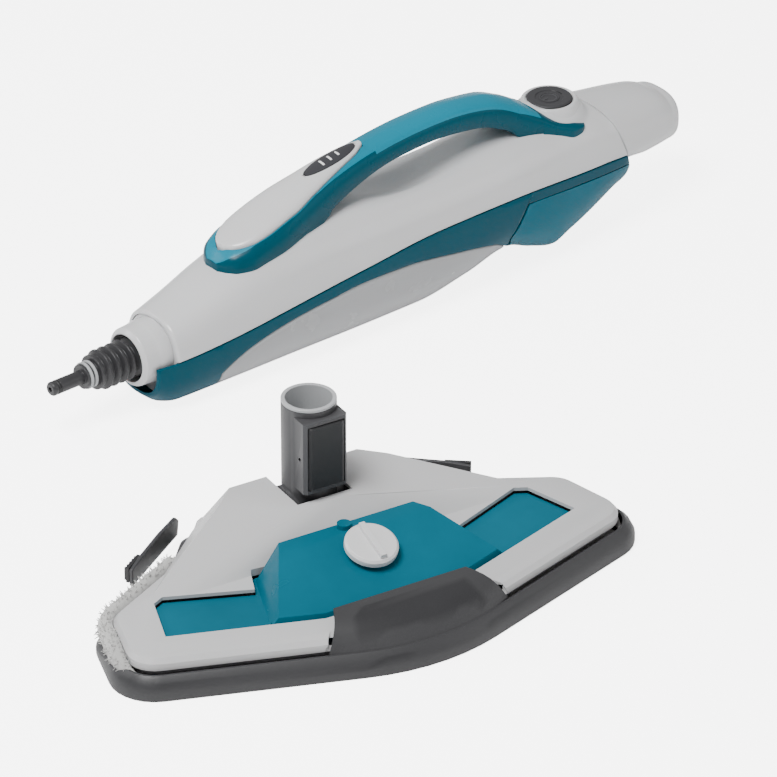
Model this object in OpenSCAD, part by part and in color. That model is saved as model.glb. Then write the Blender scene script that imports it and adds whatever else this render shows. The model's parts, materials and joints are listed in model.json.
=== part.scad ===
// Steam mop in two parts: a floor head with a folding neck, and a hand-held steam unit.
// +Z is up, the head's nose points along -Y, and the origin is on the floor under the neck's hinge.

/* [Floor head outline] */
// Half width of the head, out to the virtual front corner of a wing
wing_half = 190; // [165:1:210]
// How far the front corners of the wings lie in front of the neck hinge
wing_front = 100; // [90:1:115]
// Angle of each straight front edge
front_angle = 18.6; // [14:0.1:22]
// Radius of the rounded nose
nose_r = 143; // [100:1:170]
// Radius of the wings' front corners
wing_corner_r = 29; // [15:1:35]
// Depth of a wing from its front corner to its rear corner
wing_depth = 71; // [60:1:80]
// How far the head's back edge lies behind the neck hinge
head_back = 46; // [42:1:56]
// Half width of the back edge
back_half = 66; // [58:1:74]

/* [Floor head layers] */
// Thickness of the glider's floor ring and slats
glider_t = 2.2; // [1.6:0.1:3]
// Height of the glider's bumper rim
rim_h = 14.5; // [12:0.5:16]
// Width of the glider's rim at its top
rim_w = 8; // [6:0.5:10]
// Thickness of the microfibre pad
pad_t = 8.8; // [6:0.2:9]
// Thickness of the sole plate
sole_t = 3; // [2:0.5:3.5]
// Radius of the steam holes in the sole plate
steam_hole_r = 1.6; // [1:0.1:2.5]
// Height of the cover's rim above the sole plate
cover_rim_h = 8.8; // [8:0.2:12]
// Height of the hump that carries the neck
hump_h = 47; // [44:1:54]
// Wall of the cover
cover_wall = 2.4; // [1.8:0.1:3]

/* [Detergent tank] */
// Height of the raised middle of the detergent tank at its back
tank_h = 42; // [38:1:46]
// Wall of the detergent tank
tank_wall = 1.8; // [1.4:0.1:2.4]
// Radius of the tank cap
cap_r = 17; // [13:0.5:19]

/* [Neck] */
// Outer radius of the neck tube
neck_r = 17.5; // [16:0.25:19]
// Inner radius of the neck socket, which takes the steam nozzle or a tube
socket_r = 14.75; // [13.5:0.05:15.5]
// Height of the neck's mouth
neck_top = 107; // [95:1:125]
// Height of the neck hinge
hinge_z = 36; // [34:1:38]
// Radius of the neck hinge pin
pin_r = 4; // [3:0.25:5]

/* [Hand unit place] */
// Where the tip of the steam nozzle lies, right of the head's centre plane
hand_x = -77; // [-120:1:60]
// How far the tip of the steam nozzle lies behind the neck hinge
hand_y = 198; // [180:1:320]
// Angle of the hand unit on the floor
hand_yaw = 9.4; // [0:0.1:20]

/* [Hand unit] */
// Length of the hand unit, from the tip of the steam nozzle to the tail
hand_l = 525; // [500:1:560]
// Half width of the hand unit at its widest
hand_half = 37; // [34:0.5:42]
// Height of the body's crest
hand_crest = 97; // [92:1:102]
// Height of the steam nozzle's axis above the floor
nozzle_z = 37; // [35:0.5:39]
// Wall of the housings
wall = 2.4; // [1.8:0.1:3]
// Height of the top of the handle
handle_h = 131; // [128:1:140]
// Half width of the handle's grip
grip_half = 14; // [12:0.5:16]
// Radius of the power button
power_r = 15.5; // [12:0.5:17]
// Outer radius of the steam nozzle's ribs
rib_r = 13.6; // [12.6:0.1:14.2]
// Number of ribs on the steam nozzle
rib_n = 5; // [3:1:6]

/* [Fits] */
// Gap between parts that move past one another
gap = 0.6; // [0.4:0.1:1]
// Radial clearance of a pin in its bore
run = 0.06; // [0.03:0.01:0.1]

/* [Hidden] */
$fn = 64;

// ---------- curves and meshes ----------

function unit(p) = p / norm(p);

// Which span of a key list [[x, value], ...] holds x
function span(keys, x, k = 0) = k >= len(keys) - 2 || x < keys[k + 1][0] ? k : span(keys, x, k + 1);
function rise(keys, k) = (keys[k + 1][1] - keys[k][1]) / (keys[k + 1][0] - keys[k][0]);
function slope(keys, k) =
    k == 0 ? rise(keys, 0) :
    k == len(keys) - 1 ? rise(keys, k - 1) :
    let (before = rise(keys, k - 1), after = rise(keys, k))
    before * after <= 0 ? 0 : 2 * before * after / (before + after);
// A smooth curve through the keys that doesn't overshoot them
function curve(keys, x) =
    let (
        k = span(keys, x),
        length = keys[k + 1][0] - keys[k][0],
        t = min(1, max(0, (x - keys[k][0]) / length)),
        t2 = t * t,
        t3 = t2 * t
    )
    (2 * t3 - 3 * t2 + 1) * keys[k][1] + (t3 - 2 * t2 + t) * length * slope(keys, k)
        + (3 * t2 - 2 * t3) * keys[k + 1][1] + (t3 - t2) * length * slope(keys, k + 1);

// A closed solid through a list of rings with the same number of points each
module loft(rings, looped = false) {
    rows = len(rings);
    cols = len(rings[0]);
    points = concat(
        [for (ring = rings) for (p = ring) p],
        [for (ring = [rings[0], rings[rows - 1]]) total_point(ring) / cols]
    );
    function at(i, j) = (i % rows) * cols + j % cols;
    sides = [
        for (i = [0 : rows - (looped ? 1 : 2)]) for (j = [0 : cols - 1])
            for (tri = [[at(i, j), at(i + 1, j), at(i + 1, j + 1)],
                        [at(i, j), at(i + 1, j + 1), at(i, j + 1)]]) tri
    ];
    ends = looped ? [] : [
        for (j = [0 : cols - 1])
            for (tri = [[at(0, j), at(0, j + 1), rows * cols],
                        [at(rows - 1, j + 1), at(rows - 1, j), rows * cols + 1]]) tri
    ];
    polyhedron(points = looped ? [for (ring = rings) for (p = ring) p] : points,
               faces = concat(sides, ends));
}
function total_point(ring, k = 0) = k >= len(ring) ? [0, 0, 0] : ring[k] + total_point(ring, k + 1);

// A wall between an outer and an inner grid of points, kept only in the cells that keep[i][j] marks
module wall_patch(outer, inner, keep) {
    rows = len(outer);
    cols = len(outer[0]);
    function at(i, j) = i * cols + j;
    function kept(i, j) = i >= 0 && j >= 0 && i < rows - 1 && j < cols - 1 && keep[i][j];
    function edge(a, b) = [[b, a, a + rows * cols], [b, a + rows * cols, b + rows * cols]];
    cells = [
        for (i = [0 : rows - 2]) for (j = [0 : cols - 2]) if (keep[i][j])
            let (a = at(i, j), b = at(i + 1, j), c = at(i + 1, j + 1), d = at(i, j + 1), n = rows * cols)
            each concat(
                [[a, b, c], [a, c, d], [a + n, c + n, b + n], [a + n, d + n, c + n]],
                kept(i, j - 1) ? [] : edge(a, b),
                kept(i + 1, j) ? [] : edge(b, c),
                kept(i, j + 1) ? [] : edge(c, d),
                kept(i - 1, j) ? [] : edge(d, a)
            )
    ];
    polyhedron(points = [for (grid = [outer, inner]) for (row = grid) for (p = row) p], faces = cells);
}

// ---------- floor head: outline ----------

wing_end_angle = 105;
wing_rear_r = 30;
shoulder_r = 30;
back_r = 14;
shoulder = [back_half + 32, head_back - 38];
arc_steps = 7;

front_corner = [wing_half, -wing_front];
rear_corner = front_corner + wing_depth * [cos(wing_end_angle), sin(wing_end_angle)];
nose_apex = [0, -wing_front - wing_half * tan(front_angle)];
right_corners = [front_corner, rear_corner, shoulder, [back_half, head_back]];
right_radii = [wing_corner_r, wing_rear_r, -shoulder_r, back_r];
head_corners = concat([nose_apex], right_corners, [for (k = [3 : -1 : 0]) [-right_corners[k].x,
    right_corners[k].y]]);
head_radii = concat([nose_r], right_radii, [for (k = [3 : -1 : 0]) right_radii[k]]);

function outward(a, b) = let (d = unit(b - a)) [d.y, -d.x];
function round_corner(a, b, c, r) =
    let (
        to_a = unit(a - b),
        to_c = unit(c - b),
        half = acos(to_a * to_c) / 2,
        start = b + to_a * r / tan(half),
        centre = b + unit(to_a + to_c) * r / sin(half),
        first = atan2(start.y - centre.y, start.x - centre.x),
        end = b + to_c * r / tan(half),
        turn = atan2(end.y - centre.y, end.x - centre.x) - first,
        sweep = turn > 180 ? turn - 360 : turn < -180 ? turn + 360 : turn
    )
    [for (k = [0 : arc_steps]) centre + r * [cos(first + sweep * k / arc_steps),
                                             sin(first + sweep * k / arc_steps)]];

// The head's outline in plan, grown outwards by g
function plan(g) =
    let (
        n = len(head_corners),
        grown = [
            for (k = [0 : n - 1])
                let (
                    before = outward(head_corners[(k + n - 1) % n], head_corners[k]),
                    after = outward(head_corners[k], head_corners[(k + 1) % n])
                )
                head_corners[k] + g * (before + after) / (1 + before * after)
        ]
    )
    [
        for (k = [0 : n - 1])
            let (r = head_radii[k] < 0 ? -head_radii[k] - g : max(1, head_radii[k] + g))
            each round_corner(grown[(k + n - 1) % n], grown[k], grown[(k + 1) % n], r)
    ];
function plan_ring(g, z) = [for (p = plan(g)) [p.x, p.y, z]];

// ---------- floor head: layers ----------

sole_z = glider_t + pad_t + gap;
cover_z = sole_z + sole_t + gap;
rim_top = cover_z + cover_rim_h;
rim_low = 5.2;
rim_fade_front = -70;
rim_fade_back = -20;
cover_inset = rim_w + 3;
pad_inset = 4;
pad_low = glider_t + 0.2;
slat_w = 12;
slat_pitch = 46;

// The bumper rim stands high at the nose and the wings' fronts, and low behind, where the pad shows
function rim_scale(y) =
    let (t = min(1, max(0, (y - rim_fade_front) / (rim_fade_back - rim_fade_front))))
    1 + (rim_low / rim_h - 1) * (3 * t * t - 2 * t * t * t);
function rim_ring(g, z) = [for (p = plan(g)) [p.x, p.y, z <= glider_t ? z : max(glider_t,
    z * rim_scale(p.y))]];

lip_half_low = 64;
lip_half_top = 47;
lip_top_y = nose_apex.y + 54;
lip_top_z = rim_top + 5.5;
lip_t = 2.6;
function nose_y(x, inset) = nose_apex.y + nose_r * (1 / cos(front_angle) - 1) + inset
    + nose_r - sqrt(nose_r * nose_r - x * x);
function lip_point(s, t, drop) =
    let (
        x = s * (lip_half_low + (lip_half_top - lip_half_low) * t),
        low = nose_y(x, 7.5),
        bulge = 5 * sin(180 * t)
    )
    [x, low + (lip_top_y - low) * t - bulge * 0.4, rim_h - 1 + (lip_top_z - rim_h + 1) * t + bulge - drop];

module glider_frame() {
    color([0.22, 0.22, 0.23]) {
        loft([
            rim_ring(-16, 0), rim_ring(0, 0), rim_ring(0, 6), rim_ring(-2.5, 11),
            rim_ring(-rim_w + 1.5, rim_h), rim_ring(-rim_w, rim_h), rim_ring(-pad_inset, 8),
            rim_ring(-pad_inset, glider_t), rim_ring(-16, glider_t)
        ], looped = true);
        intersection() {
            linear_extrude(height = glider_t) polygon(plan(-15));
            for (k = [-3 : 3])
                translate([k * slat_pitch - slat_w / 2, -200, 0]) cube([slat_w, 300, glider_t]);
        }
        lip_cols = 14;
        lip_rows = 6;
        wall_patch(
            [for (i = [0 : lip_rows]) [for (j = [0 : lip_cols]) lip_point(2 * j / lip_cols - 1,
                i / lip_rows, 0)]],
            [for (i = [0 : lip_rows]) [for (j = [0 : lip_cols]) lip_point(2 * j / lip_cols - 1,
                i / lip_rows, lip_t)]],
            [for (i = [1 : lip_rows]) [for (j = [1 : lip_cols]) true]]
        );
    }
}

// Rear latches: flexible blades that span the hollows behind the shoulders of the cover
latch_a = [back_half + 1, head_back + 1];
latch_b = shoulder + [24, -1];
latch_len = norm(latch_b - latch_a);
latch_turn = atan2(latch_b.y - latch_a.y, latch_b.x - latch_a.x);
latch_z = rim_low + gap;
latch_h = 15;
latch_t = 2.6;
tab_w = 17;
tab_h = latch_h - 4;
module at_latch(side) {
    mirror([side < 0 ? 1 : 0, 0, 0])
        translate([latch_a.x, latch_a.y, latch_z]) rotate([0, 0, latch_turn]) children();
}
module latch_blade() {
    rotate([90, 0, 0]) translate([0, 0, -latch_t])
        linear_extrude(height = latch_t)
            polygon([[2, 0], [latch_len, 0], [latch_len, latch_h - 3], [latch_len - 16, latch_h - 1],
                     [latch_len * 0.4, latch_h], [4, latch_h - 1], [0, latch_h - 5]]);
}
module latch_tab() {
    translate([latch_len - tab_w, latch_t, 2]) {
        cube([tab_w, 2.4, tab_h]);
        for (k = [0 : 4]) translate([0.8 + k * 3.4, 2.4, 1]) cube([1.8, 1.4, tab_h - 2]);
    }
}
module glider_latch_left() { color([0.3, 0.3, 0.32]) at_latch(-1) latch_blade(); }
module glider_latch_right() { color([0.3, 0.3, 0.32]) at_latch(1) latch_blade(); }
module latch_tab_left() { color([0.12, 0.12, 0.12]) at_latch(-1) latch_tab(); }
module latch_tab_right() { color([0.12, 0.12, 0.12]) at_latch(1) latch_tab(); }

fringe_h = 4.2;
fringe_t = 3.4;
fringe_from_y = -52;
function rim_lowness(y) = (1 - rim_scale(y)) / (1 - rim_low / rim_h);
// The pad's turned-up edge stays inside the rim's slope, and bulges out over it where the rim is low
function fringe_ring(low_z, high_z, bulge) =
    let (inner = plan(-rim_w - gap), outer = plan(-rim_w - gap + bulge))
    [for (k = [0 : len(inner) - 1])
        let (t = rim_lowness(inner[k].y), p = inner[k] * (1 - t) + outer[k] * t)
        [p.x, p.y, high_z + (low_z - high_z) * t]];
module microfibre_pad() {
    color([0.86, 0.86, 0.85]) {
        translate([0, 0, pad_low]) linear_extrude(height = pad_t) polygon(plan(-rim_w - gap - 1));
        // The pad's edge turns up round the wing ends and the back
        difference() {
            loft([
                plan_ring(-rim_w - gap - fringe_t, pad_low), plan_ring(-rim_w - gap, pad_low),
                fringe_ring(rim_low + gap, rim_h + gap, 0), fringe_ring(sole_z, rim_h + gap + 0.3, 3),
                fringe_ring(sole_z + fringe_h, sole_z + fringe_h, 1),
                plan_ring(-rim_w - gap - 1.4, sole_z + fringe_h),
                    plan_ring(-rim_w - gap - fringe_t, sole_z - 2)
            ], looped = true);
            translate([-250, -300, sole_z - 1]) cube([500, 300 + fringe_from_y, 20]);
            translate([-back_half - 50, -40, sole_z - 1]) cube([2 * back_half + 100, 120, 20]);
        }
    }
}

hole_cols = 5;
module sole_plate() {
    color([0.45, 0.45, 0.47])
        translate([0, 0, sole_z]) difference() {
            linear_extrude(height = sole_t) polygon(plan(-pad_inset - 9.5));
            for (k = [-hole_cols : hole_cols])
                translate([k * 22, -96 + abs(k) * 6, -1]) cylinder(r = steam_hole_r, h = sole_t + 2);
        }
}

screw_spots = [[-118, -58], [118, -58], [-50, 24], [50, 24]];
module sole_screws() {
    color([0.7, 0.7, 0.72])
        for (p = screw_spots)
            translate([p.x, p.y, sole_z + sole_t]) cylinder(r = 2.6, h = gap - 0.1);
}

manifold_h = 4.6;
module steam_manifold() {
    manifold_half = [slot_half - 1, 15];
    color([0.8, 0.78, 0.7])
        translate([0, -4, sole_z + sole_t + 0.1]) {
            difference() {
                translate([-manifold_half.x, -manifold_half.y, 0])
                    cube([2 * manifold_half.x, 2 * manifold_half.y, manifold_h]);
                translate([-manifold_half.x + 3, -manifold_half.y + 3, -1])
                    cube([2 * manifold_half.x - 6, 2 * manifold_half.y - 6, manifold_h - 1]);
            }
        }
}

// Where the detergent tank shows through the cover: corners of its right half, from the front back
window_front = nose_apex.y + 36.5;
function window_line(x) = window_front + x * tan(front_angle);
window_corner = [wing_half - 44, window_line(wing_half - 44)];
window_half = [
    [lip_half_top + 5, window_line(lip_half_top + 5)], window_corner,
    [wing_half - 56, -wing_front + 58], [wing_half - 64, -wing_front + 62],
    [wing_half - 117, -wing_front + 41], [wing_half - 124, -wing_front + 58], [20, -wing_front + 56]
];
module window_shape(g) {
    offset(delta = g)
        polygon(concat(window_half, [for (k = [len(window_half) - 1 : -1 : 0]) [-window_half[k].x,
            window_half[k].y]]));
}

// The foot of the hump stays inside the turned-up edge of the pad, however long the wings are
hump_wide = min(wing_half - 52, shoulder.x + 40);
hump_half = 60;
hump_back = 20;
hump_front = -25;
module hump(inset, drop) {
    hull() {
        translate([0, 0, cover_z - 1 - drop]) linear_extrude(height = rim_top - cover_z - 1)
            polygon([
                [-hump_wide + inset, -38], [-hump_wide + 22 + inset, -46], [-56, -38], [56, -38],
                [hump_wide - 22 - inset, -46], [hump_wide - inset, -38],
                [back_half + 6 - inset, head_back - 24 - inset],
                    [back_half - 9 - inset, head_back - 12 - inset],
                [-back_half + 9 + inset, head_back - 12 - inset],
                    [-back_half - 6 + inset, head_back - 24 - inset]
            ]);
        translate([0, 0, hump_h - 2 - drop]) linear_extrude(height = 2)
            polygon([
                [-hump_half + inset, 6], [-37, -15 + inset], [-12, hump_front + inset],
                    [12, hump_front + inset],
                [37, -15 + inset], [hump_half - inset, 6], [46 - inset, hump_back - inset],
                    [-46 + inset, hump_back - inset]
            ]);
    }
}
slot_half = neck_r + 2;
// The space that the glider's lip takes, with a gap all round
module lip_room() {
    steps = 8;
    loft([
        for (i = [0 : steps])
            let (s = 1.05 * (2 * i / steps - 1), low = lip_point(s, 0, 0), top = lip_point(s, 1, 0))
            concat([for (k = [0 : 5]) lip_point(s, k / 5, lip_t + gap)],
                   [[top.x, top.y + gap, 60], [low.x, low.y - 15, 60],
                    [low.x, low.y - 15, low.z - lip_t - gap]])
    ]);
}
module head_cover() {
    color([0.93, 0.93, 0.93])
        difference() {
            union() {
                loft([
                    plan_ring(-cover_inset - 6, cover_z), plan_ring(-cover_inset, cover_z),
                    plan_ring(-cover_inset, rim_top - 4), plan_ring(-cover_inset - 2.5, rim_top - 1),
                    plan_ring(-cover_inset - 6, rim_top), plan_ring(-cover_inset - 12, rim_top)
                ]);
                hump(0, 0);
            }
            translate([0, 0, cover_z - 1])
                linear_extrude(height = rim_top - cover_z + 1 - cover_wall)
                    polygon(plan(-cover_inset - cover_wall));
            intersection() {
                hump(3, cover_wall);
                translate([-200, -36 + gap, cover_z - 2]) cube([400, 200, 100]);
            }
            translate([0, 0, cover_z - 2]) linear_extrude(height = 60) window_shape(0);
            lip_room();
            // The slot that the neck leans back into
            translate([-slot_half, -slot_half, cover_z + 6]) cube([2 * slot_half, 120, 60]);
        }
}

bearing_t = 6;
bearing_w = 20;
module bearing(side) {
    difference() {
        translate([side > 0 ? slot_half + gap : -slot_half - gap - bearing_t, -bearing_w / 2,
                   sole_z + sole_t])
            cube([bearing_t, bearing_w, hinge_z + pin_r + 3 - sole_z - sole_t]);
        translate([0, 0, hinge_z]) rotate([0, 90, 0]) cylinder(r = pin_r, h = 100, center = true);
    }
}
module bearing_left() { color([0.5, 0.5, 0.52]) bearing(-1); }
module bearing_right() { color([0.5, 0.5, 0.52]) bearing(1); }
module neck_pin() {
    color([0.75, 0.75, 0.77])
        translate([0, 0, hinge_z]) rotate([0, 90, 0])
            cylinder(r = pin_r, h = 2 * (slot_half + gap + bearing_t), center = true);
}

// ---------- detergent tank ----------

tank_floor = cover_z + 1.4;
tank_deck = rim_top - 4;
cap_y = -74;
tank_crest_y = -56;
tank_slope = atan((tank_h - lip_top_z + 4) / (tank_crest_y - lip_top_y - 3));
cap_z = tank_h + (cap_y - tank_crest_y) * tan(tank_slope);
module tank_block(inset) {
    hull() {
        translate([0, 0, tank_floor + inset]) linear_extrude(height = 2)
            polygon([[-84 + inset, -97 + inset], [-52, window_line(52) + gap + inset],
                     [52, window_line(52) + gap + inset],
                     [84 - inset, -97 + inset], [66 - inset, -46 - inset], [-66 + inset, -46 - inset]]);
        translate([0, 0, lip_top_z - 5 - inset]) linear_extrude(height = 1)
            polygon([[-78 + inset, -97 + inset], [-50, lip_top_y + 3 + inset],
                     [50, lip_top_y + 3 + inset], [78 - inset, -97 + inset]]);
        translate([0, 0, tank_h - 1 - inset]) linear_extrude(height = 1)
            polygon([[-54 + inset, tank_crest_y], [54 - inset, tank_crest_y],
                     [48 - inset, -45 - inset], [-48 + inset, -45 - inset]]);
    }
}
module tank_wing(inset) {
    translate([0, 0, tank_floor + inset]) linear_extrude(height = tank_deck - tank_floor - 2 * inset)
        window_shape(-gap - inset);
}
module at_cap() { translate([0, cap_y, cap_z]) rotate([tank_slope, 0, 0]) children(); }
filler_r = cap_r - 6;
module detergent_tank() {
    color([0, 0.5, 0.6], 0.75)
        difference() {
            union() {
                intersection() {
                    tank_block(0);
                    translate([0, 0, tank_floor]) linear_extrude(height = 60) window_shape(-gap);
                }
                tank_wing(0);
                at_cap() translate([0, 0, -6]) cylinder(r = filler_r + 2, h = 8);
                // Lug behind the filler neck
                translate([-4, tank_crest_y + 6.5, tank_h - 5]) cylinder(r = 4.5, h = 8);
            }
            intersection() {
                tank_block(tank_wall);
                translate([0, 0, tank_floor + tank_wall]) linear_extrude(height = 60)
                    window_shape(-gap - tank_wall);
            }
            at_cap() translate([0, 0, -12]) cylinder(r = filler_r, h = 30);
        }
}
module tank_cap() {
    color([0.92, 0.92, 0.92])
        at_cap() translate([0, 0, 2 + gap]) {
            difference() {
                rotate_extrude() polygon([[0, -4], [filler_r - 2, -4], [filler_r - 2, 0], [cap_r - 1.5, 0],
                                          [cap_r, 1.2],
                                          [cap_r, 4.5], [cap_r - 1.5, 6], [0, 6]]);
                translate([0, 0, -5]) cylinder(r = filler_r - 4, h = 8);
            }
            translate([-2, -cap_r + 2.5, 6]) cube([4, 2 * cap_r - 5, 3.4]);
        }
}
module cap_seal() {
    color([0.15, 0.15, 0.15])
        at_cap() rotate_extrude() translate([filler_r - 1.6, 0]) square([1.4, 1.8]);
}

// ---------- neck ----------

barrel_r = 13;
barrel_half = slot_half - gap;
neck_floor = 62;
liner_t = 1.6;
latch_low = 56;
latch_top = neck_top - 7;
neck_latch_half = 12.5;
neck_latch_t = 2.7;
latch_box = 4;
latch_travel = 2;
pocket_y = -neck_r - 0.5;
latch_back_y = pocket_y - latch_travel - 0.3;
module neck_tube() {
    color([0.38, 0.38, 0.39])
        difference() {
            union() {
                translate([0, 0, hinge_z]) cylinder(r = neck_r, h = neck_top - hinge_z);
                translate([0, 0, hinge_z]) rotate([0, 90, 0]) cylinder(r = barrel_r, h = 2 * barrel_half,
                    center = true);
                // Housing of the release latch
                translate([0, 0, latch_low - 3]) linear_extrude(height = latch_top - latch_low + 6)
                    polygon([[-neck_latch_half - 3, -8], [-neck_latch_half - 3, -neck_r - latch_box + 2],
                             [-neck_latch_half - 1, -neck_r - latch_box],
                                 [neck_latch_half + 1, -neck_r - latch_box],
                             [neck_latch_half + 3, -neck_r - latch_box + 2], [neck_latch_half + 3, -8]]);
            }
            translate([0, 0, hinge_z]) rotate([0, 90, 0]) cylinder(r = pin_r + run, h = 60, center = true);
            difference() {
                translate([-30, -30, hinge_z - 40]) cube([60, 60, 40]);
                translate([0, 0, hinge_z]) rotate([0, 90, 0]) cylinder(r = barrel_r, h = 60, center = true);
            }
            translate([0, 0, neck_floor]) cylinder(r = socket_r + liner_t, h = 100);
            translate([0, 0, hinge_z + pin_r + 5]) cylinder(r = 4.2, h = 100);
            // Pocket of the release latch
            translate([-neck_latch_half - gap, pocket_y - 20, latch_low - gap])
                cube([2 * (neck_latch_half + gap), 20, latch_top - latch_low + 2 * gap]);
            rotate([0, 0, 45]) translate([-neck_r - 5, 0, 76]) rotate([0, 90, 0]) cylinder(r = 1.3, h = 7);
        }
}
module neck_liner() {
    color([0.72, 0.72, 0.73])
        difference() {
            union() {
                translate([0, 0, neck_floor]) cylinder(r = socket_r + liner_t,
                                                       h = neck_top - neck_floor + 1);
                translate([0, 0, neck_top]) cylinder(r = neck_r, h = 2);
            }
            translate([0, 0, neck_floor - 1]) cylinder(r = socket_r, h = 100);
        }
}
module neck_steam_pipe() {
    color([0.85, 0.85, 0.86])
        translate([0, 0, hinge_z + pin_r + 6]) difference() {
            cylinder(r = 4.2, h = neck_floor - hinge_z - pin_r - 6);
            translate([0, 0, -1]) cylinder(r = 2, h = 100);
        }
}
module neck_latch() {
    color([0.2, 0.2, 0.21])
        translate([0, latch_back_y, latch_low]) linear_extrude(height = latch_top - latch_low)
            polygon([[-neck_latch_half, 0], [-neck_latch_half, -neck_latch_t + 1.4],
                     [-neck_latch_half + 1.8, -neck_latch_t],
                     [neck_latch_half - 1.8, -neck_latch_t], [neck_latch_half, -neck_latch_t + 1.4],
                         [neck_latch_half, 0]]);
}
module neck_latch_spring() {
    color([0.75, 0.75, 0.75])
        translate([0, latch_back_y, 88]) rotate([-90, 0, 0]) cylinder(r = 1.2, h = latch_travel + 0.3);
}

// ---------- hand unit: shape of the body ----------
// Here u runs from the nozzle tip to the tail, v to the left and w up; the floor is w = 0.

module at_hand() { translate([hand_x, hand_y, 0]) rotate([0, 0, hand_yaw]) children(); }

section_n = 2.6;
tail_u = hand_l;
seam_u = tail_u - 71;
seam_slant = 0.43;
body_front = 84;
chin_front = 70;
half_keys = [[chin_front, 23.6], [76, 25], [body_front, 27], [110, 30], [165, hand_half - 3],
             [260, hand_half],
             [380, hand_half], [seam_u, hand_half - 6], [tail_u - 20, hand_half - 11],
                 [tail_u, hand_half - 16]];
top_keys = [[chin_front, 57.5], [body_front, 61], [105, 67.5], [135, hand_crest - 18],
            [165, hand_crest - 9],
            [200, hand_crest - 4], [330, hand_crest - 3], [390, hand_crest], [430, hand_crest - 1],
            [seam_u, hand_crest - 5], [tail_u - 20, hand_crest - 12], [tail_u, hand_crest - 20]];
belly_end = 288;
dock_u = 366;
tank_foot_u = 408;
cap_bottom = 45;
bottom_keys = [[chin_front, 9], [78, 3], [90, 0], [belly_end, 0], [330, 7], [dock_u - 4, 15], [dock_u, 15],
               [386, 7], [tank_foot_u, 0.8], [420, 7], [seam_u - 14, 25], [seam_u - 0.5, 35],
                   [seam_u, cap_bottom],
               [tail_u - 40, cap_bottom - 2], [tail_u, cap_bottom - 1]];
band_top_keys = [[66, 35], [100, 38], [133, 42], [166, 47], [232, 56], [299, 62], [369, 63], [441, 58],
                 [480, 54]];
band_low_keys = [[108, 5], [122, 20], [139, 30], [170, 39], [203, 44], [237, 47], [272, 46], [309, 41],
                 [347, 33], [362, 24]];

// The scoop under the grip
scoop_u = 292;
scoop_l = 62;
scoop_half = 25;
scoop_d = 11;
function bump(t) = abs(t) >= 1 ? 0 : (1 + cos(180 * t)) / 2;
function scoop(u, v) = scoop_d * bump((u - scoop_u) / scoop_l) * bump(v / scoop_half);

function body_mid(u) = (curve(top_keys, u) + curve(bottom_keys, u)) / 2;
function body_rise(u) = (curve(top_keys, u) - curve(bottom_keys, u)) / 2;
function power(x, p) = x < 0 ? -pow(-x, p) : pow(x, p);
// Angle on the section at u of a point at height w
function angle_at(u, w) = asin(min(1, max(-1, power((w - body_mid(u)) / body_rise(u), section_n / 2))));
function ease(t) = let (x = min(1, max(0, t))) x * x * (3 - 2 * x);
// The sections lean into the slanted seam of the end cap, and stand upright again at the tail
function lean(u) =
    seam_slant * ease((u - seam_u + 44) / 44) * (1 - ease((u - seam_u) / (tail_u - 8 - seam_u)));
function body_point(u, a, inset) =
    let (
        v = (curve(half_keys, u) - inset) * power(cos(a), 2 / section_n),
        w = body_mid(u) + (body_rise(u) - inset) * power(sin(a), 2 / section_n)
    )
    [u + lean(u) * (curve(top_keys, u) - w), v, w - (sin(a) > 0 ? scoop(u, v) : 0)];
function crest_at(u, v) =
    let (t = min(0.999, abs(v) / curve(half_keys, u)))
    body_mid(u) + body_rise(u) * pow(1 - pow(t, section_n), 1 / section_n) - scoop(u, v);

function spread(first, last, n) = [for (k = [0 : n]) first + (last - first) * k / n];

// ---------- hand unit: shells ----------

seam_gap = 0.25;
module upper_housing() {
    rows = 38;
    cols = 22;
    function angles(u) = let (a = angle_at(u, curve(band_top_keys, u) + seam_gap)) spread(a, 180 - a, cols);
    us = spread(body_front, seam_u, rows);
    color([0.93, 0.93, 0.93])
        at_hand() difference() {
            wall_patch(
                [for (u = us) [for (a = angles(u)) body_point(u, a, 0)]],
                [for (u = us) [for (a = angles(u)) body_point(u, a, wall)]],
                [for (i = [1 : rows]) [for (j = [1 : cols]) true]]
            );
            translate([collar_u, 0, 60]) cylinder(r = bezel_r + 1.65, h = 100);
        }
}

// The teal band: a chin under the nose that runs back as a strip along each side,
// and narrows above the tank
chin_end = 118;
chin_rows = 10;
hull_end = dock_u - 6;
band_strip = 7.5;
strip_cols = 4;
belly_cols = 10;
module side_band() {
    us = concat(spread(chin_front, chin_end, chin_rows), spread(chin_end + 8, hull_end, 24),
                [hull_end + 1.5], spread(hull_end + 8, seam_u, 12));
    function low(u) =
        angle_at(u, u > hull_end ? curve(band_top_keys, u) - band_strip : curve(band_low_keys,
            max(u, chin_end)));
    function angles(u) =
        let (top = angle_at(u, curve(band_top_keys, u) - seam_gap), bottom = min(low(u), top - 3))
        concat(spread(180 - top, 180 - bottom, strip_cols),
               [for (k = [1 : belly_cols]) 180 - bottom + (180 + 2 * bottom) * k / belly_cols],
               [for (k = [1 : strip_cols]) bottom + 360 + (top - bottom) * k / strip_cols]);
    color([0, 0.38, 0.47])
        at_hand() wall_patch(
            [for (u = us) [for (a = angles(u)) body_point(u, a, 0)]],
            [for (u = us) [for (a = angles(u)) body_point(u, a, wall)]],
            [for (i = [1 : len(us) - 1]) [for (j = [1 : 2 * strip_cols + belly_cols])
                i <= chin_rows || j <= strip_cols || j > strip_cols + belly_cols]]
        );
}

module lower_hull() {
    rows = 24;
    cols = 14;
    us = spread(chin_end + seam_gap, hull_end, rows);
    function angles(u) = let (a = angle_at(u, curve(band_low_keys, u) - seam_gap)) spread(180 - a, 360 + a,
        cols);
    color([0.8, 0.8, 0.81])
        at_hand() wall_patch(
            [for (u = us) [for (a = angles(u)) body_point(u, a, 0)]],
            [for (u = us) [for (a = angles(u)) body_point(u, a, wall)]],
            [for (i = [1 : rows]) [for (j = [1 : cols]) true]]
        );
}

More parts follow.
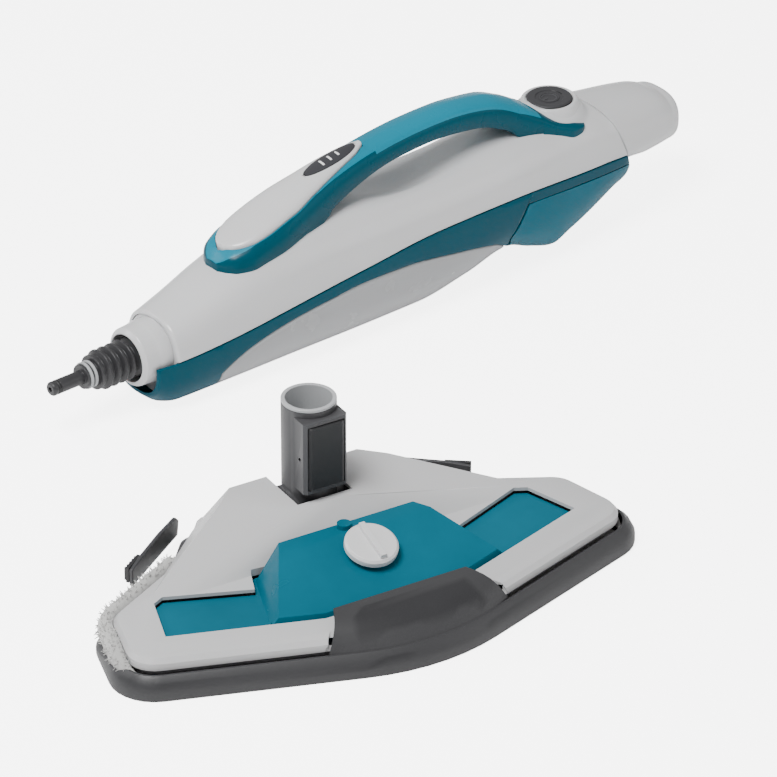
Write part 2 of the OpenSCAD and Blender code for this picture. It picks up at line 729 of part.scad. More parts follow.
gland_z = 62;
gland_r = 7;
module end_cap() {
    rows = 9;
    cols = 40;
    us = concat(spread(seam_u + seam_gap, tail_u - 6, rows), [tail_u - 2.5, tail_u - 0.4]);
    function ring(u, inset) = [for (k = [0 : cols]) body_point(u, 360 * k / cols, inset)];
    function close_in(u, t, inset) = [
        for (p = ring(u, inset))
            let (c = [u - inset, 0, gland_z])
            [u - inset + 0.4 * (1 - t), c.y + (p.y - c.y) * t, c.z + (p.z - c.z) * t]
    ];
    function shell(inset) = concat(
        [for (i = [0 : rows]) ring(us[i], inset)],
        [for (p = [[tail_u - 2.5, 0.95], [tail_u - 0.4, 0.82], [tail_u, 0.5], [tail_u, 0.36]])
            close_in(p[0], p[1], inset)]
    );
    color([0.93, 0.93, 0.93])
        at_hand() difference() {
            intersection() {
                loft_shell(shell(0), shell(wall), cols);
                translate([0, -100, 0]) cube([hand_l + 1, 200, 200]);
            }
            translate([tail_u - 20, 0, gland_z]) rotate([0, 90, 0]) cylinder(r = gland_r, h = 40);
        }
}
// A tube-like wall between two stacks of closed rings
module loft_shell(outer, inner, cols) {
    rings = concat(outer, [for (i = [len(inner) - 1 : -1 : 0]) inner[i]]);
    loft([for (ring = rings) [for (j = [0 : cols - 1]) ring[j]]], looped = true);
}
module cord_gland() {
    color([0.2, 0.2, 0.21])
        at_hand() translate([tail_u - 10, 0, gland_z]) rotate([0, 90, 0]) difference() {
            rotate_extrude() polygon([[0, 0], [gland_r + 2.5, 0], [gland_r + 2.5, 4], [gland_r, 4],
                                      [gland_r, 10],
                                      [gland_r - 1, 10.8], [0, 10.8]]);
            translate([0, 0, -1]) cylinder(r = 3.4, h = 30);
        }
}

// ---------- hand unit: nozzle ----------

stem_r = 4.8;
seal_groove = 2;
seal_section = seal_groove / 2 + 0.05;
core_r = 10.4;
rib_start = 38;
rib_pitch = 31 / rib_n;
collar_r = 20;
throat_r = rib_r + 2.6;
module along_u(u) { at_hand() translate([u, 0, nozzle_z]) rotate([0, 90, 0]) children(); }
module steam_nozzle() {
    ribs = [for (k = [0 : rib_n - 1]) each [
        [core_r, rib_start + k * rib_pitch], [rib_r, rib_start + (k + 0.32) * rib_pitch],
        [rib_r, rib_start + (k + 0.5) * rib_pitch], [core_r, rib_start + (k + 0.7) * rib_pitch]
    ]];
    color([0.25, 0.25, 0.27])
        along_u(0) rotate_extrude()
            polygon(concat(
                [[1.6, 0], [stem_r - 1, 0], [stem_r, 1.2], [stem_r, 4], [stem_r - seal_groove, 4],
                 [stem_r - seal_groove, 6.4], [stem_r, 6.4],
                 [stem_r, 25], [8.4, 25], [8.4, 27], [7.4, 27], [7.4, 29], [8.4, 29], [8.4, 30.5],
                     [7.4, 30.5],
                 [7.4, 32.5], [8.4, 32.5], [8.4, 34], [11.8, 34], [11.8, 36], [core_r, 36]],
                ribs,
                [[core_r, 70], [rib_r + 1, 70], [rib_r + 1, 74], [9, 74], [9, 110], [1.6, 110]]
            ));
}
module nozzle_rings() {
    color([0.7, 0.7, 0.7])
        for (u = [27, 30.5]) along_u(u + 0.05) rotate_extrude() translate([7.4, 0]) square([1.7, 1.9]);
}
module nozzle_oring() {
    color([0.08, 0.08, 0.08]) along_u(5.2) rotate_extrude() translate([stem_r - seal_groove + seal_section,
        0])
        circle(r = seal_section);
}
module nozzle_collar() {
    color([0.93, 0.93, 0.93])
        along_u(62) rotate_extrude()
            polygon([[throat_r, 0], [collar_r - 2.5, 0], [collar_r, 2.5], [collar_r + 0.6, 12],
                     [collar_r + 1.4, 14.5],
                     [collar_r + 1.4, 22.5], [throat_r, 22.5]]);
}
// The plate that closes the front of the body round the collar
module nose_plate() {
    plate_u = body_front + 0.5;
    steps = 40;
    color([0.93, 0.93, 0.93])
        at_hand() difference() {
            loft([for (u = [plate_u, plate_u + 2]) [
                for (k = [0 : steps - 1])
                    let (p = body_point(u, 360 * k / steps, wall + 0.35)) [u, p.y, p.z]
            ]]);
            translate([plate_u - 5, 0, nozzle_z]) rotate([0, 90, 0]) cylinder(r = throat_r, h = 10);
        }
}

// ---------- hand unit: handle and controls ----------

handle_front = 133;
handle_back = 436;
handle_top_keys = [
    [handle_front, 84], [139, 90], [150, 95], [165, 101], [200, handle_h - 18], [230, handle_h - 10],
    [262, handle_h - 4.5], [298, handle_h - 0.8], [325, handle_h], [362, handle_h - 4], [385, handle_h - 13],
    [402, handle_h - 24], [414, handle_h - 32], [426, hand_crest - 1.5], [handle_back, hand_crest - 7]
];
handle_under_keys = [
    [handle_front, 60], [190, 70], [205, 84], [218, 93], [249, handle_h - 26], [279, handle_h - 19],
    [309, handle_h - 17], [350, handle_h - 21], [372, 102], [386, 93], [414, 80], [handle_back, 70]
];
handle_half_keys = [
    [handle_front, 6], [136, 12], [142, 18], [155, 22.5], [175, 23], [200, grip_half + 6],
    [230, grip_half + 2], [262, grip_half], [340, grip_half], [380, grip_half + 3], [400, grip_half + 6.5],
    [412, grip_half + 10], [424, grip_half + 13], [430, grip_half + 12.5],
    [handle_back, grip_half + 10.5]
];
trigger_front = 140.5;
trigger_back = 258;
trigger_half_keys = [[trigger_front, 3], [143, 8], [148, 12.5], [158, 16.5], [170, 17.5], [188, 16.8],
                     [210, 13],
                     [235, 9], [250, 6], [trigger_back, 2.5]];
trigger_pocket = 7;
trigger_sink = 3.2;
trigger_proud = 2.6;
sit = 0.5;

function handle_bottom(u, v) = max(curve(handle_under_keys, u), crest_at(u, v) + sit - 1);
function handle_skin(u, v) =
    let (
        half = curve(handle_half_keys, u),
        low = handle_bottom(u, half) + 3.5,
        top = curve(handle_top_keys, u),
        t = min(1, abs(v) / half)
    )
    low + (max(top, low + 1) - low) * pow(1 - pow(t, 2.8), 1 / 2.8);
function pocket_half(u) =
    u < trigger_front - gap || u > trigger_back + gap ? 0
        : curve(trigger_half_keys, min(trigger_back, max(trigger_front, u))) + gap;
function handle_ring(u, deep) =
    let (
        half = curve(handle_half_keys, u),
        pocket = deep ? pocket_half(u) : min(half * 0.5, 3),
        drop = deep ? trigger_pocket : 0,
        side = [half, half * 0.985, half * 0.94, half * 0.86, (half * 0.8 + pocket) / 2 + 0.4,
                pocket + 0.3],
        tops = concat([for (v = side) [v, handle_skin(u, v)]],
                      [for (v = [pocket, pocket / 2, 0, -pocket / 2, -pocket]) [v,
                          handle_skin(u, v) - drop]],
                      [for (k = [5 : -1 : 0]) [-side[k], handle_skin(u, side[k])]]),
        bottoms = [for (k = [-4 : 4]) let (v = half * 0.96 * k / 4) [v, handle_bottom(u, v)]]
    )
    [for (p = concat(tops, bottoms)) [u, p[0], p[1]]];
collar_u = 424;
bezel_r = power_r + 4.6;
module handle() {
    color([0, 0.56, 0.68])
        at_hand() difference() {
            loft(concat(
                [for (u = [handle_front, 134.5, 136.5, 138.5, trigger_front - gap - 0.2])
                    handle_ring(u, false)],
                [for (u = concat([trigger_front - gap, 143, 146, 150, 155, 161], spread(168, 252, 12),
                                 [trigger_back + gap]))
                    handle_ring(u, true)],
                [for (u = concat([trigger_back + gap + 0.2], spread(266, 400, 16),
                                 [407, 413.3, 419.6, 425.9, 431, handle_back]))
                    handle_ring(u, false)]
            ));
            translate([collar_u, 0, 60]) cylinder(r = bezel_r + 2.6, h = 100);
        }
}

// The trigger: a long white drop that is pressed down at its front and hinges at its tail
level_front = 211;
level_back = 254;
level_half = 6.6;
level_sink = 1.6;
function level_reach(u) =
    let (t = (2 * u - level_front - level_back) / (level_back - level_front))
    abs(t) >= 1 ? 0 : min(level_half * pow(1 - t * t, 0.5), curve(trigger_half_keys, u) - 1.6);
function trigger_skin(u, v) =
    let (t = min(1, abs(v) / curve(trigger_half_keys, u)), base = handle_skin(u,
        curve(trigger_half_keys, u)))
    base + 0.6 + (curve(handle_top_keys, u) + trigger_proud - base - 0.6) * pow(1 - pow(t, 2.4), 1 / 2.4);
function trigger_ring(u, deep) =
    let (
        half = curve(trigger_half_keys, u),
        inner = deep ? level_reach(u) + 0.15 : half * 0.4,
        drop = deep ? level_sink : 0,
        side = [half, half * 0.97, half * 0.88, (half * 0.8 + inner) / 2 + 0.2, inner + 0.25],
        tops = concat([for (v = side) [v, trigger_skin(u, v)]],
                      [for (v = [inner, inner / 2, 0, -inner / 2, -inner]) [v, trigger_skin(u, v) - drop]],
                      [for (k = [4 : -1 : 0]) [-side[k], trigger_skin(u, side[k])]]),
        bottoms = [for (k = [-3 : 3]) let (v = half * k / 3) [v, handle_skin(u, v) - trigger_sink]]
    )
    [for (p = concat(tops, bottoms)) [u, p[0], p[1]]];
module steam_trigger() {
    color([0.94, 0.94, 0.94])
        at_hand() loft(concat(
            [for (u = concat([trigger_front, 142, 144, 147, 151, 157],
                             spread(164, 208, 6))) trigger_ring(u, false)],
            [for (u = spread(level_front + 0.6, level_back - 0.6, 10)) trigger_ring(u, true)],
            [for (u = [255, trigger_back]) trigger_ring(u, false)]
        ));
}
module level_button() {
    color([0.2, 0.2, 0.21])
        at_hand() loft([
            for (u = spread(level_front + 1.4, level_back - 1.4, 10))
                let (half = level_reach(u) - 0.2)
                concat([for (k = [4 : -1 : -4]) [u, half * k / 4, trigger_skin(u, half * k / 4) + 0.15]],
                       [for (k = [-4 : 4]) [u, half * k / 4, trigger_skin(u,
                           half * k / 4) - level_sink + 0.7]])
        ]);
}
spring_u = 162;
module trigger_spring() {
    color([0.75, 0.75, 0.75])
        at_hand() translate([spring_u, 0, handle_skin(spring_u + 3, 0) - trigger_pocket + 0.1])
            cylinder(r = 2.5, h = handle_skin(spring_u - 3, 2.5) - handle_skin(spring_u + 3,
                0) + trigger_pocket - trigger_sink - 0.3);
}
module trigger_switch() {
    color([0.15, 0.15, 0.15])
        at_hand() translate([176, -4, 78]) cube([14, 8, 7]);
}

bezel_top = hand_crest + 7;
button_top = bezel_top + 1;
power_travel = 2;
module at_power() { at_hand() translate([collar_u, 0, 0]) children(); }
module power_bezel() {
    color([0.93, 0.93, 0.93])
        at_power() rotate_extrude()
            polygon([[power_r + 0.5, hand_crest - 13], [bezel_r + 1.6, hand_crest - 13],
                     [bezel_r + 1.6, hand_crest - 3],
                     [bezel_r, bezel_top - 3], [bezel_r - 1.6, bezel_top], [power_r + 0.5, bezel_top]]);
}
module power_button() {
    color([0.3, 0.3, 0.31])
        at_power() rotate_extrude()
            polygon([[0, button_top - 8], [power_r, button_top - 8], [power_r, button_top - 0.8],
                     [power_r - 0.8, button_top],
                     [power_r * 0.62, button_top - 0.3], [power_r * 0.6, button_top - 0.9],
                         [0, button_top - 1.4]]);
}
module power_ring() {
    color([0.38, 0.38, 0.4])
        at_power() rotate_extrude() translate([power_r * 0.38, button_top - 1]) square([0.9, 0.5]);
}
module power_spring() {
    color([0.75, 0.75, 0.75]) at_power() translate([0, 0, button_top - 14]) cylinder(r = 4, h = 5.8);
}
module power_switch() {
    color([0.15, 0.15, 0.15]) at_power() translate([-9, -7, button_top - 24]) cube([18, 14, 10]);
}

// ---------- hand unit: water tank ----------

tank_end = seam_u - gap;
water_wall = 1.8;
plug_u = 405;
valve_u = 436;
function tank_top(u) = curve(band_top_keys, u) - band_strip - gap;
function water_ring(u, inset, lift) =
    let (
        a = angle_at(u, tank_top(u) - inset),
        n = 16
    )
    [for (k = [0 : n])
        let (b = 180 - a + (180 + 2 * a) * k / n, p = body_point(u, b, inset))
        [p.x + lift * (max(p.z, 62 - p.z) - 40), p.y, p.z]];
front_lean = 0.55;
function water_rings(inset) = [
    for (u = spread(dock_u + 1 + inset, tank_end - inset, 14))
        let (t = max(0, 1 - (u - dock_u) / 60))
        water_ring(u, inset, front_lean * t)
];
module water_tank() {
    color([0, 0.5, 0.6], 0.75)
        at_hand() difference() {
            loft(water_rings(0));
            loft(water_rings(water_wall));
            translate([plug_u, 0, 40]) cylinder(r = 9, h = 40);
            translate([valve_u, 0, 40]) cylinder(r = 4, h = 40);
        }
}
module tank_plug() {
    color([0.12, 0.12, 0.12])
        at_hand() translate([plug_u, 0, tank_top(plug_u) - 3]) cylinder(r = 8.95, h = 5.5);
}
module tank_valve() {
    color([0.8, 0.8, 0.8])
        at_hand() translate([valve_u, 0, tank_top(valve_u) - 9]) cylinder(r = 3.95, h = 12);
}

// ---------- hand unit: inside ----------

boiler_r = 19;
boiler_u = 232;
boiler_l = 104;
boiler_z = 44;
module boiler() {
    color([0.78, 0.78, 0.8])
        at_hand() translate([boiler_u, 0, boiler_z]) rotate([0, 90, 0])
            rotate_extrude() polygon([[0, 0], [boiler_r - 4, 0], [boiler_r, 4], [boiler_r, boiler_l - 4],
                                      [boiler_r - 4, boiler_l], [0, boiler_l]]);
}
module boiler_clamps() {
    color([0.6, 0.6, 0.62])
        for (u = [boiler_u + 14, boiler_u + boiler_l - 22])
            at_hand() translate([u, 0, boiler_z]) rotate([0, 90, 0]) difference() {
                cylinder(r = boiler_r + 1.6, h = 8);
                translate([0, 0, -1]) cylinder(r = boiler_r + 0.05, h = 10);
            }
}
module thermostat() {
    color([0.85, 0.8, 0.7])
        at_hand() translate([boiler_u + 52, 0, boiler_z + boiler_r]) cylinder(r = 8, h = 6);
}
module pump() {
    color([0.3, 0.3, 0.34])
        at_hand() {
            translate([352, 0, 80]) rotate([0, 90, 0]) cylinder(r = 11, h = 42);
            translate([345, 0, 80]) rotate([0, 90, 0]) cylinder(r = 4, h = 56);
        }
}
module water_hose() {
    color([0.85, 0.85, 0.86])
        at_hand() translate([344.9, 0, 80]) rotate([0, -90, 0]) difference() {
            cylinder(r = 4, h = 7);
            translate([0, 0, -1]) cylinder(r = 2.4, h = 9);
        }
}
module steam_pipe() {
    color([0.8, 0.7, 0.5])
        at_hand() hull_pipe([110.1, nozzle_z], [boiler_u - 0.1, boiler_z]);
}
module hull_pipe(a, b) {
    length = norm(b - a);
    translate([a[0], 0, a[1]]) rotate([0, 90 - atan2(b[1] - a[1], b[0] - a[0]), 0]) difference() {
        cylinder(r = 3.5, h = length - 0.6);
        translate([0, 0, -1]) cylinder(r = 2.4, h = length + 2);
    }
}
module circuit_board() {
    color([0.1, 0.4, 0.2]) at_hand() translate([150, -20, 66]) cube([74, 40, 1.6]);
}
module terminal_block() {
    color([0.9, 0.9, 0.85]) at_hand() translate([466, -12, 60]) cube([22, 24, 10]);
}
module housing_screws() {
    color([0.7, 0.7, 0.72])
        for (u = [150, 215, 350]) for (side = [-1, 1])
            at_hand() translate([u, side * 14, curve(bottom_keys, u) + 9]) cylinder(r = 2.4, h = 12);
}

glider_frame();
glider_latch_left();
glider_latch_right();
latch_tab_left();
latch_tab_right();
microfibre_pad();
sole_plate();
steam_manifold();
sole_screws();
head_cover();
bearing_left();
bearing_right();
neck_pin();
detergent_tank();
tank_cap();
cap_seal();
neck_tube();
neck_liner();
neck_steam_pipe();
neck_latch();
neck_latch_spring();
steam_nozzle();
nozzle_rings();
nozzle_oring();
nozzle_collar();
nose_plate();
upper_housing();
side_band();
lower_hull();
handle();
steam_trigger();
level_button();
trigger_spring();
trigger_switch();
power_bezel();
power_button();
power_ring();
power_spring();
power_switch();
end_cap();
cord_gland();
water_tank();
tank_plug();
tank_valve();
boiler();
boiler_clamps();
thermostat();
pump();
water_hose();
steam_pipe();
circuit_board();
terminal_block();
housing_screws();
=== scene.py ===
"""Looks of the steam mop: smooth shells, trim and materials over the CAD frame, with camera and light."""
import json
import math
import random

import bmesh
import bpy
from mathutils import Matrix, Vector, noise

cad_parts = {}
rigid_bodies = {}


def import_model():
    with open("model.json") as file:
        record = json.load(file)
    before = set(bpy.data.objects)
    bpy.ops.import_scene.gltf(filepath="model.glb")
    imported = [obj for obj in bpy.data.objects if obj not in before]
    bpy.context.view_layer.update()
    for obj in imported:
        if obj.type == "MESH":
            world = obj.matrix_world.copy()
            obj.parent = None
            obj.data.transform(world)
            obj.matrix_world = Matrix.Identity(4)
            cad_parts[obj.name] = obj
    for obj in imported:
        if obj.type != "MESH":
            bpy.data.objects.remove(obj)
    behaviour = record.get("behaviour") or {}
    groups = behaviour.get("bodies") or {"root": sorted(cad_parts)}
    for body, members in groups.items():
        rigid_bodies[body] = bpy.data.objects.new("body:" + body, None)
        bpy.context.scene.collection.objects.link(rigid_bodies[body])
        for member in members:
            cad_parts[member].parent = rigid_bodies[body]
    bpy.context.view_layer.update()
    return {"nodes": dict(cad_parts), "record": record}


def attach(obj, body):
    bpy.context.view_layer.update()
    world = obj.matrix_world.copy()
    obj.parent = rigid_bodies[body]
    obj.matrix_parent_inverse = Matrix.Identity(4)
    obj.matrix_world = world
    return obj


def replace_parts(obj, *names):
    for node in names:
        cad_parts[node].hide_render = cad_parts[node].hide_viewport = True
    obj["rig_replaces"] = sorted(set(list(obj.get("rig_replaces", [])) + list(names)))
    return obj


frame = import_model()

MM = 0.001
random.seed(7)

# ---------- materials ----------


def material(name, color, rough, coat=0.0, trans=0.0, grain=900.0, bump=0.05, patch=0.05, rough_var=0.06,
             metal=0.0, sss=0.0, ior=1.46, sheen=0.0, wear=0.0, spec=0.5):
    """Moulded or drawn surface: fine grain bump, broad colour drift, roughness variation and worn edges."""
    mat = bpy.data.materials.new(name)
    mat.use_nodes = True
    nt = mat.node_tree
    nodes, links = nt.nodes, nt.links
    bsdf = nodes["Principled BSDF"]
    bsdf.inputs["Metallic"].default_value = metal
    bsdf.inputs["IOR"].default_value = ior
    bsdf.inputs["Specular IOR Level"].default_value = spec
    bsdf.inputs["Coat Weight"].default_value = coat
    bsdf.inputs["Coat Roughness"].default_value = 0.08
    bsdf.inputs["Transmission Weight"].default_value = trans
    bsdf.inputs["Subsurface Weight"].default_value = sss
    bsdf.inputs["Subsurface Scale"].default_value = 0.004
    bsdf.inputs["Sheen Weight"].default_value = sheen
    coord = nodes.new("ShaderNodeTexCoord")
    broad = nodes.new("ShaderNodeTexNoise")
    broad.inputs["Scale"].default_value = 14
    broad.inputs["Detail"].default_value = 4
    links.new(coord.outputs["Object"], broad.inputs["Vector"])
    ramp = nodes.new("ShaderNodeValToRGB")
    low = [max(0, c * (1 - patch)) for c in color]
    high = [min(1, c * (1 + patch)) for c in color]
    ramp.color_ramp.elements[0].position = 0.3
    ramp.color_ramp.elements[0].color = (*low, 1)
    ramp.color_ramp.elements[1].position = 0.7
    ramp.color_ramp.elements[1].color = (*high, 1)
    links.new(broad.outputs["Fac"], ramp.inputs["Fac"])
    out = ramp.outputs["Color"]
    if wear:
        geo = nodes.new("ShaderNodeNewGeometry")
        edge = nodes.new("ShaderNodeMapRange")
        edge.inputs["From Min"].default_value = 0.52
        edge.inputs["From Max"].default_value = 0.6
        links.new(geo.outputs["Pointiness"], edge.inputs["Value"])
        scale = nodes.new("ShaderNodeMath")
        scale.operation = "MULTIPLY"
        scale.inputs[1].default_value = wear
        links.new(edge.outputs["Result"], scale.inputs[0])
        mix = nodes.new("ShaderNodeMix")
        mix.data_type = "RGBA"
        links.new(scale.outputs["Value"], mix.inputs["Factor"])
        links.new(out, mix.inputs[6])
        mix.inputs[7].default_value = (*[min(1, c * 1.5 + 0.06) for c in color], 1)
        out = mix.outputs[2]
    links.new(out, bsdf.inputs["Base Color"])
    fine = nodes.new("ShaderNodeTexNoise")
    fine.inputs["Scale"].default_value = grain
    fine.inputs["Detail"].default_value = 3
    links.new(coord.outputs["Object"], fine.inputs["Vector"])
    spread = nodes.new("ShaderNodeMapRange")
    spread.inputs["To Min"].default_value = max(0.02, rough - rough_var)
    spread.inputs["To Max"].default_value = min(1, rough + rough_var)
    smudge = nodes.new("ShaderNodeTexNoise")
    smudge.inputs["Scale"].default_value = 45
    smudge.inputs["Detail"].default_value = 6
    links.new(coord.outputs["Object"], smudge.inputs["Vector"])
    links.new(smudge.outputs["Fac"], spread.inputs["Value"])
    links.new(spread.outputs["Result"], bsdf.inputs["Roughness"])
    bumper = nodes.new("ShaderNodeBump")
    bumper.inputs["Strength"].default_value = bump
    bumper.inputs["Distance"].default_value = 0.0004
    links.new(fine.outputs["Fac"], bumper.inputs["Height"])
    links.new(bumper.outputs["Normal"], bsdf.inputs["Normal"])
    return mat


M = {
    "charcoal_plastic": material("charcoal_plastic", (0.022, 0.022, 0.024), 0.42, grain=1500, bump=0.25,
                                 wear=0.2),
    "latch_plastic": material("latch_plastic", (0.04, 0.04, 0.043), 0.38, grain=1300, bump=0.18, wear=0.2),
    "black_plastic": material("black_plastic", (0.014, 0.014, 0.015), 0.4, grain=1500, bump=0.2, wear=0.2),
    "sole_plastic": material("sole_plastic", (0.15, 0.15, 0.16), 0.5, bump=0.1),
    "manifold_plastic": material("manifold_plastic", (0.5, 0.48, 0.42), 0.5),
    "screw_steel": material("screw_steel", (0.62, 0.62, 0.64), 0.28, metal=1.0, grain=2500, bump=0.1),
    "white_gloss": material("white_gloss", (0.60, 0.602, 0.61), 0.24, coat=0.15, grain=500, bump=0.02,
                            patch=0.012, sss=0.03),
    "trigger_white": material("trigger_white", (0.62, 0.62, 0.625), 0.22, coat=0.2, grain=500, bump=0.02,
                              patch=0.012, sss=0.03),
    "cap_white": material("cap_white", (0.62, 0.62, 0.625), 0.3, coat=0.15, grain=900, bump=0.05, patch=0.02,
                          sss=0.03),
    "cover_white": material("cover_white", (0.50, 0.50, 0.505), 0.36, coat=0.05, grain=1100, bump=0.08,
                            patch=0.02, sss=0.02),
    "tank_teal": material("tank_teal", (0.0, 0.12, 0.18), 0.25, coat=0.03, trans=0.12, spec=0.12, grain=300,
                          bump=0.02, patch=0.12, ior=1.42),
    "seal_rubber": material("seal_rubber", (0.02, 0.02, 0.021), 0.5, grain=1800, bump=0.2),
    "neck_plastic": material("neck_plastic", (0.055, 0.055, 0.058), 0.36, grain=1300, bump=0.15, wear=0.2),
    "ring_grey": material("ring_grey", (0.42, 0.43, 0.44), 0.3, coat=0.1, bump=0.05),
    "nozzle_plastic": material("nozzle_plastic", (0.028, 0.028, 0.03), 0.34, grain=1500, bump=0.15, wear=0.3),
    "band_teal": material("band_teal", (0.0, 0.06, 0.092), 0.3, spec=0.15, grain=400, bump=0.02),
    "hull_grey": material("hull_grey", (0.34, 0.345, 0.355), 0.26, coat=0.1, grain=500, bump=0.02,
                          patch=0.015, sss=0.03),
    "handle_teal": material("handle_teal", (0.0, 0.195, 0.29), 0.28, coat=0.03, spec=0.2, grain=400,
                            bump=0.02),
    # painted shade: a darker copy of the handle's teal, used for the grip's sides, underside, trigger
    # surround and prongs
    "handle_painted_shade": material("handle_painted_shade", (0.0, 0.06, 0.09), 0.28, coat=0.03, spec=0.15, grain=400,
                            bump=0.02),
    "level_dark": material("level_dark", (0.035, 0.035, 0.04), 0.3, coat=0.1, grain=1500, bump=0.1),
    "button_grey": material("button_grey", (0.045, 0.045, 0.048), 0.5, grain=1500, bump=0.2, wear=0.2,
                            spec=0.2),
    "gland_rubber": material("gland_rubber", (0.03, 0.03, 0.03), 0.6, grain=1800, bump=0.25),
    "boiler_metal": material("boiler_metal", (0.6, 0.6, 0.62), 0.35, metal=1.0, grain=700, bump=0.2),
    "inner_plastic": material("inner_plastic", (0.7, 0.66, 0.55), 0.5),
    "pump_plastic": material("pump_plastic", (0.05, 0.05, 0.06), 0.5),
    "hose_silicone": material("hose_silicone", (0.75, 0.75, 0.75), 0.35, sss=0.2),
    "pipe_brass": material("pipe_brass", (0.7, 0.5, 0.25), 0.3, metal=1.0, grain=1500, bump=0.1),
    "board_green": material("board_green", (0.03, 0.2, 0.08), 0.4),
    "pad_fabric": material("pad_fabric", (0.46, 0.458, 0.445), 0.95, grain=1900, bump=1.0, patch=0.14,
                           sheen=0.5),
    "mark_white": material("mark_white", (0.85, 0.85, 0.85), 0.4),
    "mark_grey": material("mark_grey", (0.075, 0.075, 0.08), 0.75, spec=0.1),
}

slot_of = {row["node"]: row["material_slot"] for row in frame["record"]["subparts"]}
body_of_node = {}
for body_name, names in frame["record"]["behaviour"]["bodies"].items():
    for n in names:
        body_of_node[n] = body_name

# ---------- mesh helpers ----------


def add(name, mesh, body, mats):
    """Put a mesh in the scene as a piece that rides on a body."""
    obj = bpy.data.objects.new(name, mesh)
    bpy.context.scene.collection.objects.link(obj)
    for m in mats:
        mesh.materials.append(M[m])
    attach(obj, body)
    return obj


def shade(bm, angle):
    """Smooth faces, with edges sharper than angle kept crisp."""
    bm.normal_update()
    for f in bm.faces:
        f.smooth = True
    for e in bm.edges:
        e.smooth = len(e.link_faces) == 2 and e.calc_face_angle(0) < math.radians(angle)


def bevelled(obj, width, angle=30, segments=2):
    mod = obj.modifiers.new("round", "BEVEL")
    mod.width = width * MM
    mod.segments = segments
    mod.limit_method = "ANGLE"
    mod.angle_limit = math.radians(angle)
    mod.harden_normals = True
    mod.use_clamp_overlap = True
    return obj


def refined(node, width=0.5, angle=30, mat=None, merge=True, segments=2):
    """A cleaned copy of a CAD node's mesh with rounded edges, which stands for the node."""
    source = frame["nodes"][node]
    bm = bmesh.new()
    bm.from_mesh(source.data)
    bmesh.ops.remove_doubles(bm, verts=bm.verts, dist=0.00001)
    if merge:
        bmesh.ops.dissolve_limit(bm, angle_limit=math.radians(0.8), verts=bm.verts, edges=bm.edges)
    shade(bm, angle)
    mesh = bpy.data.meshes.new(node + "_look")
    bm.to_mesh(mesh)
    bm.free()
    mesh.materials.clear()
    slot = slot_of[node]
    obj = add(node + "_look", mesh, body_of_node[node], [mat or slot])
    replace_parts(obj, node)
    if width:
        bevelled(obj, width, angle, segments)
    return obj


def grid_mesh(name, rows, closed=False, caps=False, angle=40, flip=False, face_mat=None):
    """A mesh through rows of points in mm: closed joins each row's ends, caps fills the end rows."""
    bm = bmesh.new()
    grid = [[bm.verts.new(Vector(p) * MM) for p in row] for row in rows]
    cols = len(rows[0])
    for i in range(len(rows) - 1):
        for j in range(cols if closed else cols - 1):
            k = (j + 1) % cols
            quad = [grid[i][j], grid[i + 1][j], grid[i + 1][k], grid[i][k]]
            if flip:
                quad.reverse()
            f = bm.faces.new(quad)
            if face_mat:
                f.material_index = face_mat(i, j)
    if caps:
        for f in (bm.faces.new(list(reversed(grid[0])) if not flip else grid[0]),
                  bm.faces.new(grid[-1] if not flip else list(reversed(grid[-1])))):
            f.material_index = face_mat(0, 0) if face_mat else 0
    bmesh.ops.recalc_face_normals(bm, faces=bm.faces)
    middle = sum((v.co for v in bm.verts), Vector()) / len(bm.verts)
    outward = sum((f.calc_center_median() - middle).dot(f.normal) * f.calc_area() for f in bm.faces)
    if not caps and outward < 0:
        bmesh.ops.reverse_faces(bm, faces=bm.faces)
    shade(bm, angle)
    mesh = bpy.data.meshes.new(name)
    bm.to_mesh(mesh)
    bm.free()
    return mesh


# ---------- hand unit: the body's shape, in mm along its own u, v, w ----------

YAW = math.radians(9.4)
HX, HY = -77, 198
CU, SU = math.cos(YAW), math.sin(YAW)
TAIL, SEAM, SLANT, N = 525, 454, 0.43, 2.6
HALF, CREST, WALL, HANDLE_H, GRIP, POWER_R = 37, 97, 2.4, 131, 14, 15.5
COLLAR_U, DOCK, HULL_END, CHIN_END, STRIP, GAP = 424, 366, 360, 118, 7.5, 0.6
COLLAR_R, COLLAR_H, SCOOP_U, SCOOP_DEPTH, SEAM_HALF = 26, 7.5, 292, 11, 0.3
TAIL_ROUND, TAIL_Z, TANK_MID, TANK_LEAN, TANK_WALL = 8, 62, 31, 0.55, 1.8


def at_hand(p):
    """A point of the hand unit, turned and moved to where it lies."""
    u, v, w = p
    return (HX + u * CU - v * SU, HY + u * SU + v * CU, w)


def in_place(rows):
    return [[at_hand(p) for p in row] for row in rows]


def curve(keys, x):
    """The smooth line through keys (x, y) that never overshoots them, held level outside."""
    k = 0
    while k < len(keys) - 2 and x >= keys[k + 1][0]:
        k += 1

    def rise(i):
        return (keys[i + 1][1] - keys[i][1]) / (keys[i + 1][0] - keys[i][0])

    def slope(i):
        if i == 0:
            return rise(0)
        if i == len(keys) - 1:
            return rise(i - 1)
        a, b = rise(i - 1), rise(i)
        return 0 if a * b <= 0 else 2 * a * b / (a + b)

    length = keys[k + 1][0] - keys[k][0]
    t = min(1, max(0, (x - keys[k][0]) / length))
    t2, t3 = t * t, t * t * t
    return ((2 * t3 - 3 * t2 + 1) * keys[k][1] + (t3 - 2 * t2 + t) * length * slope(k)
            + (3 * t2 - 2 * t3) * keys[k + 1][1] + (t3 - t2) * length * slope(k + 1))


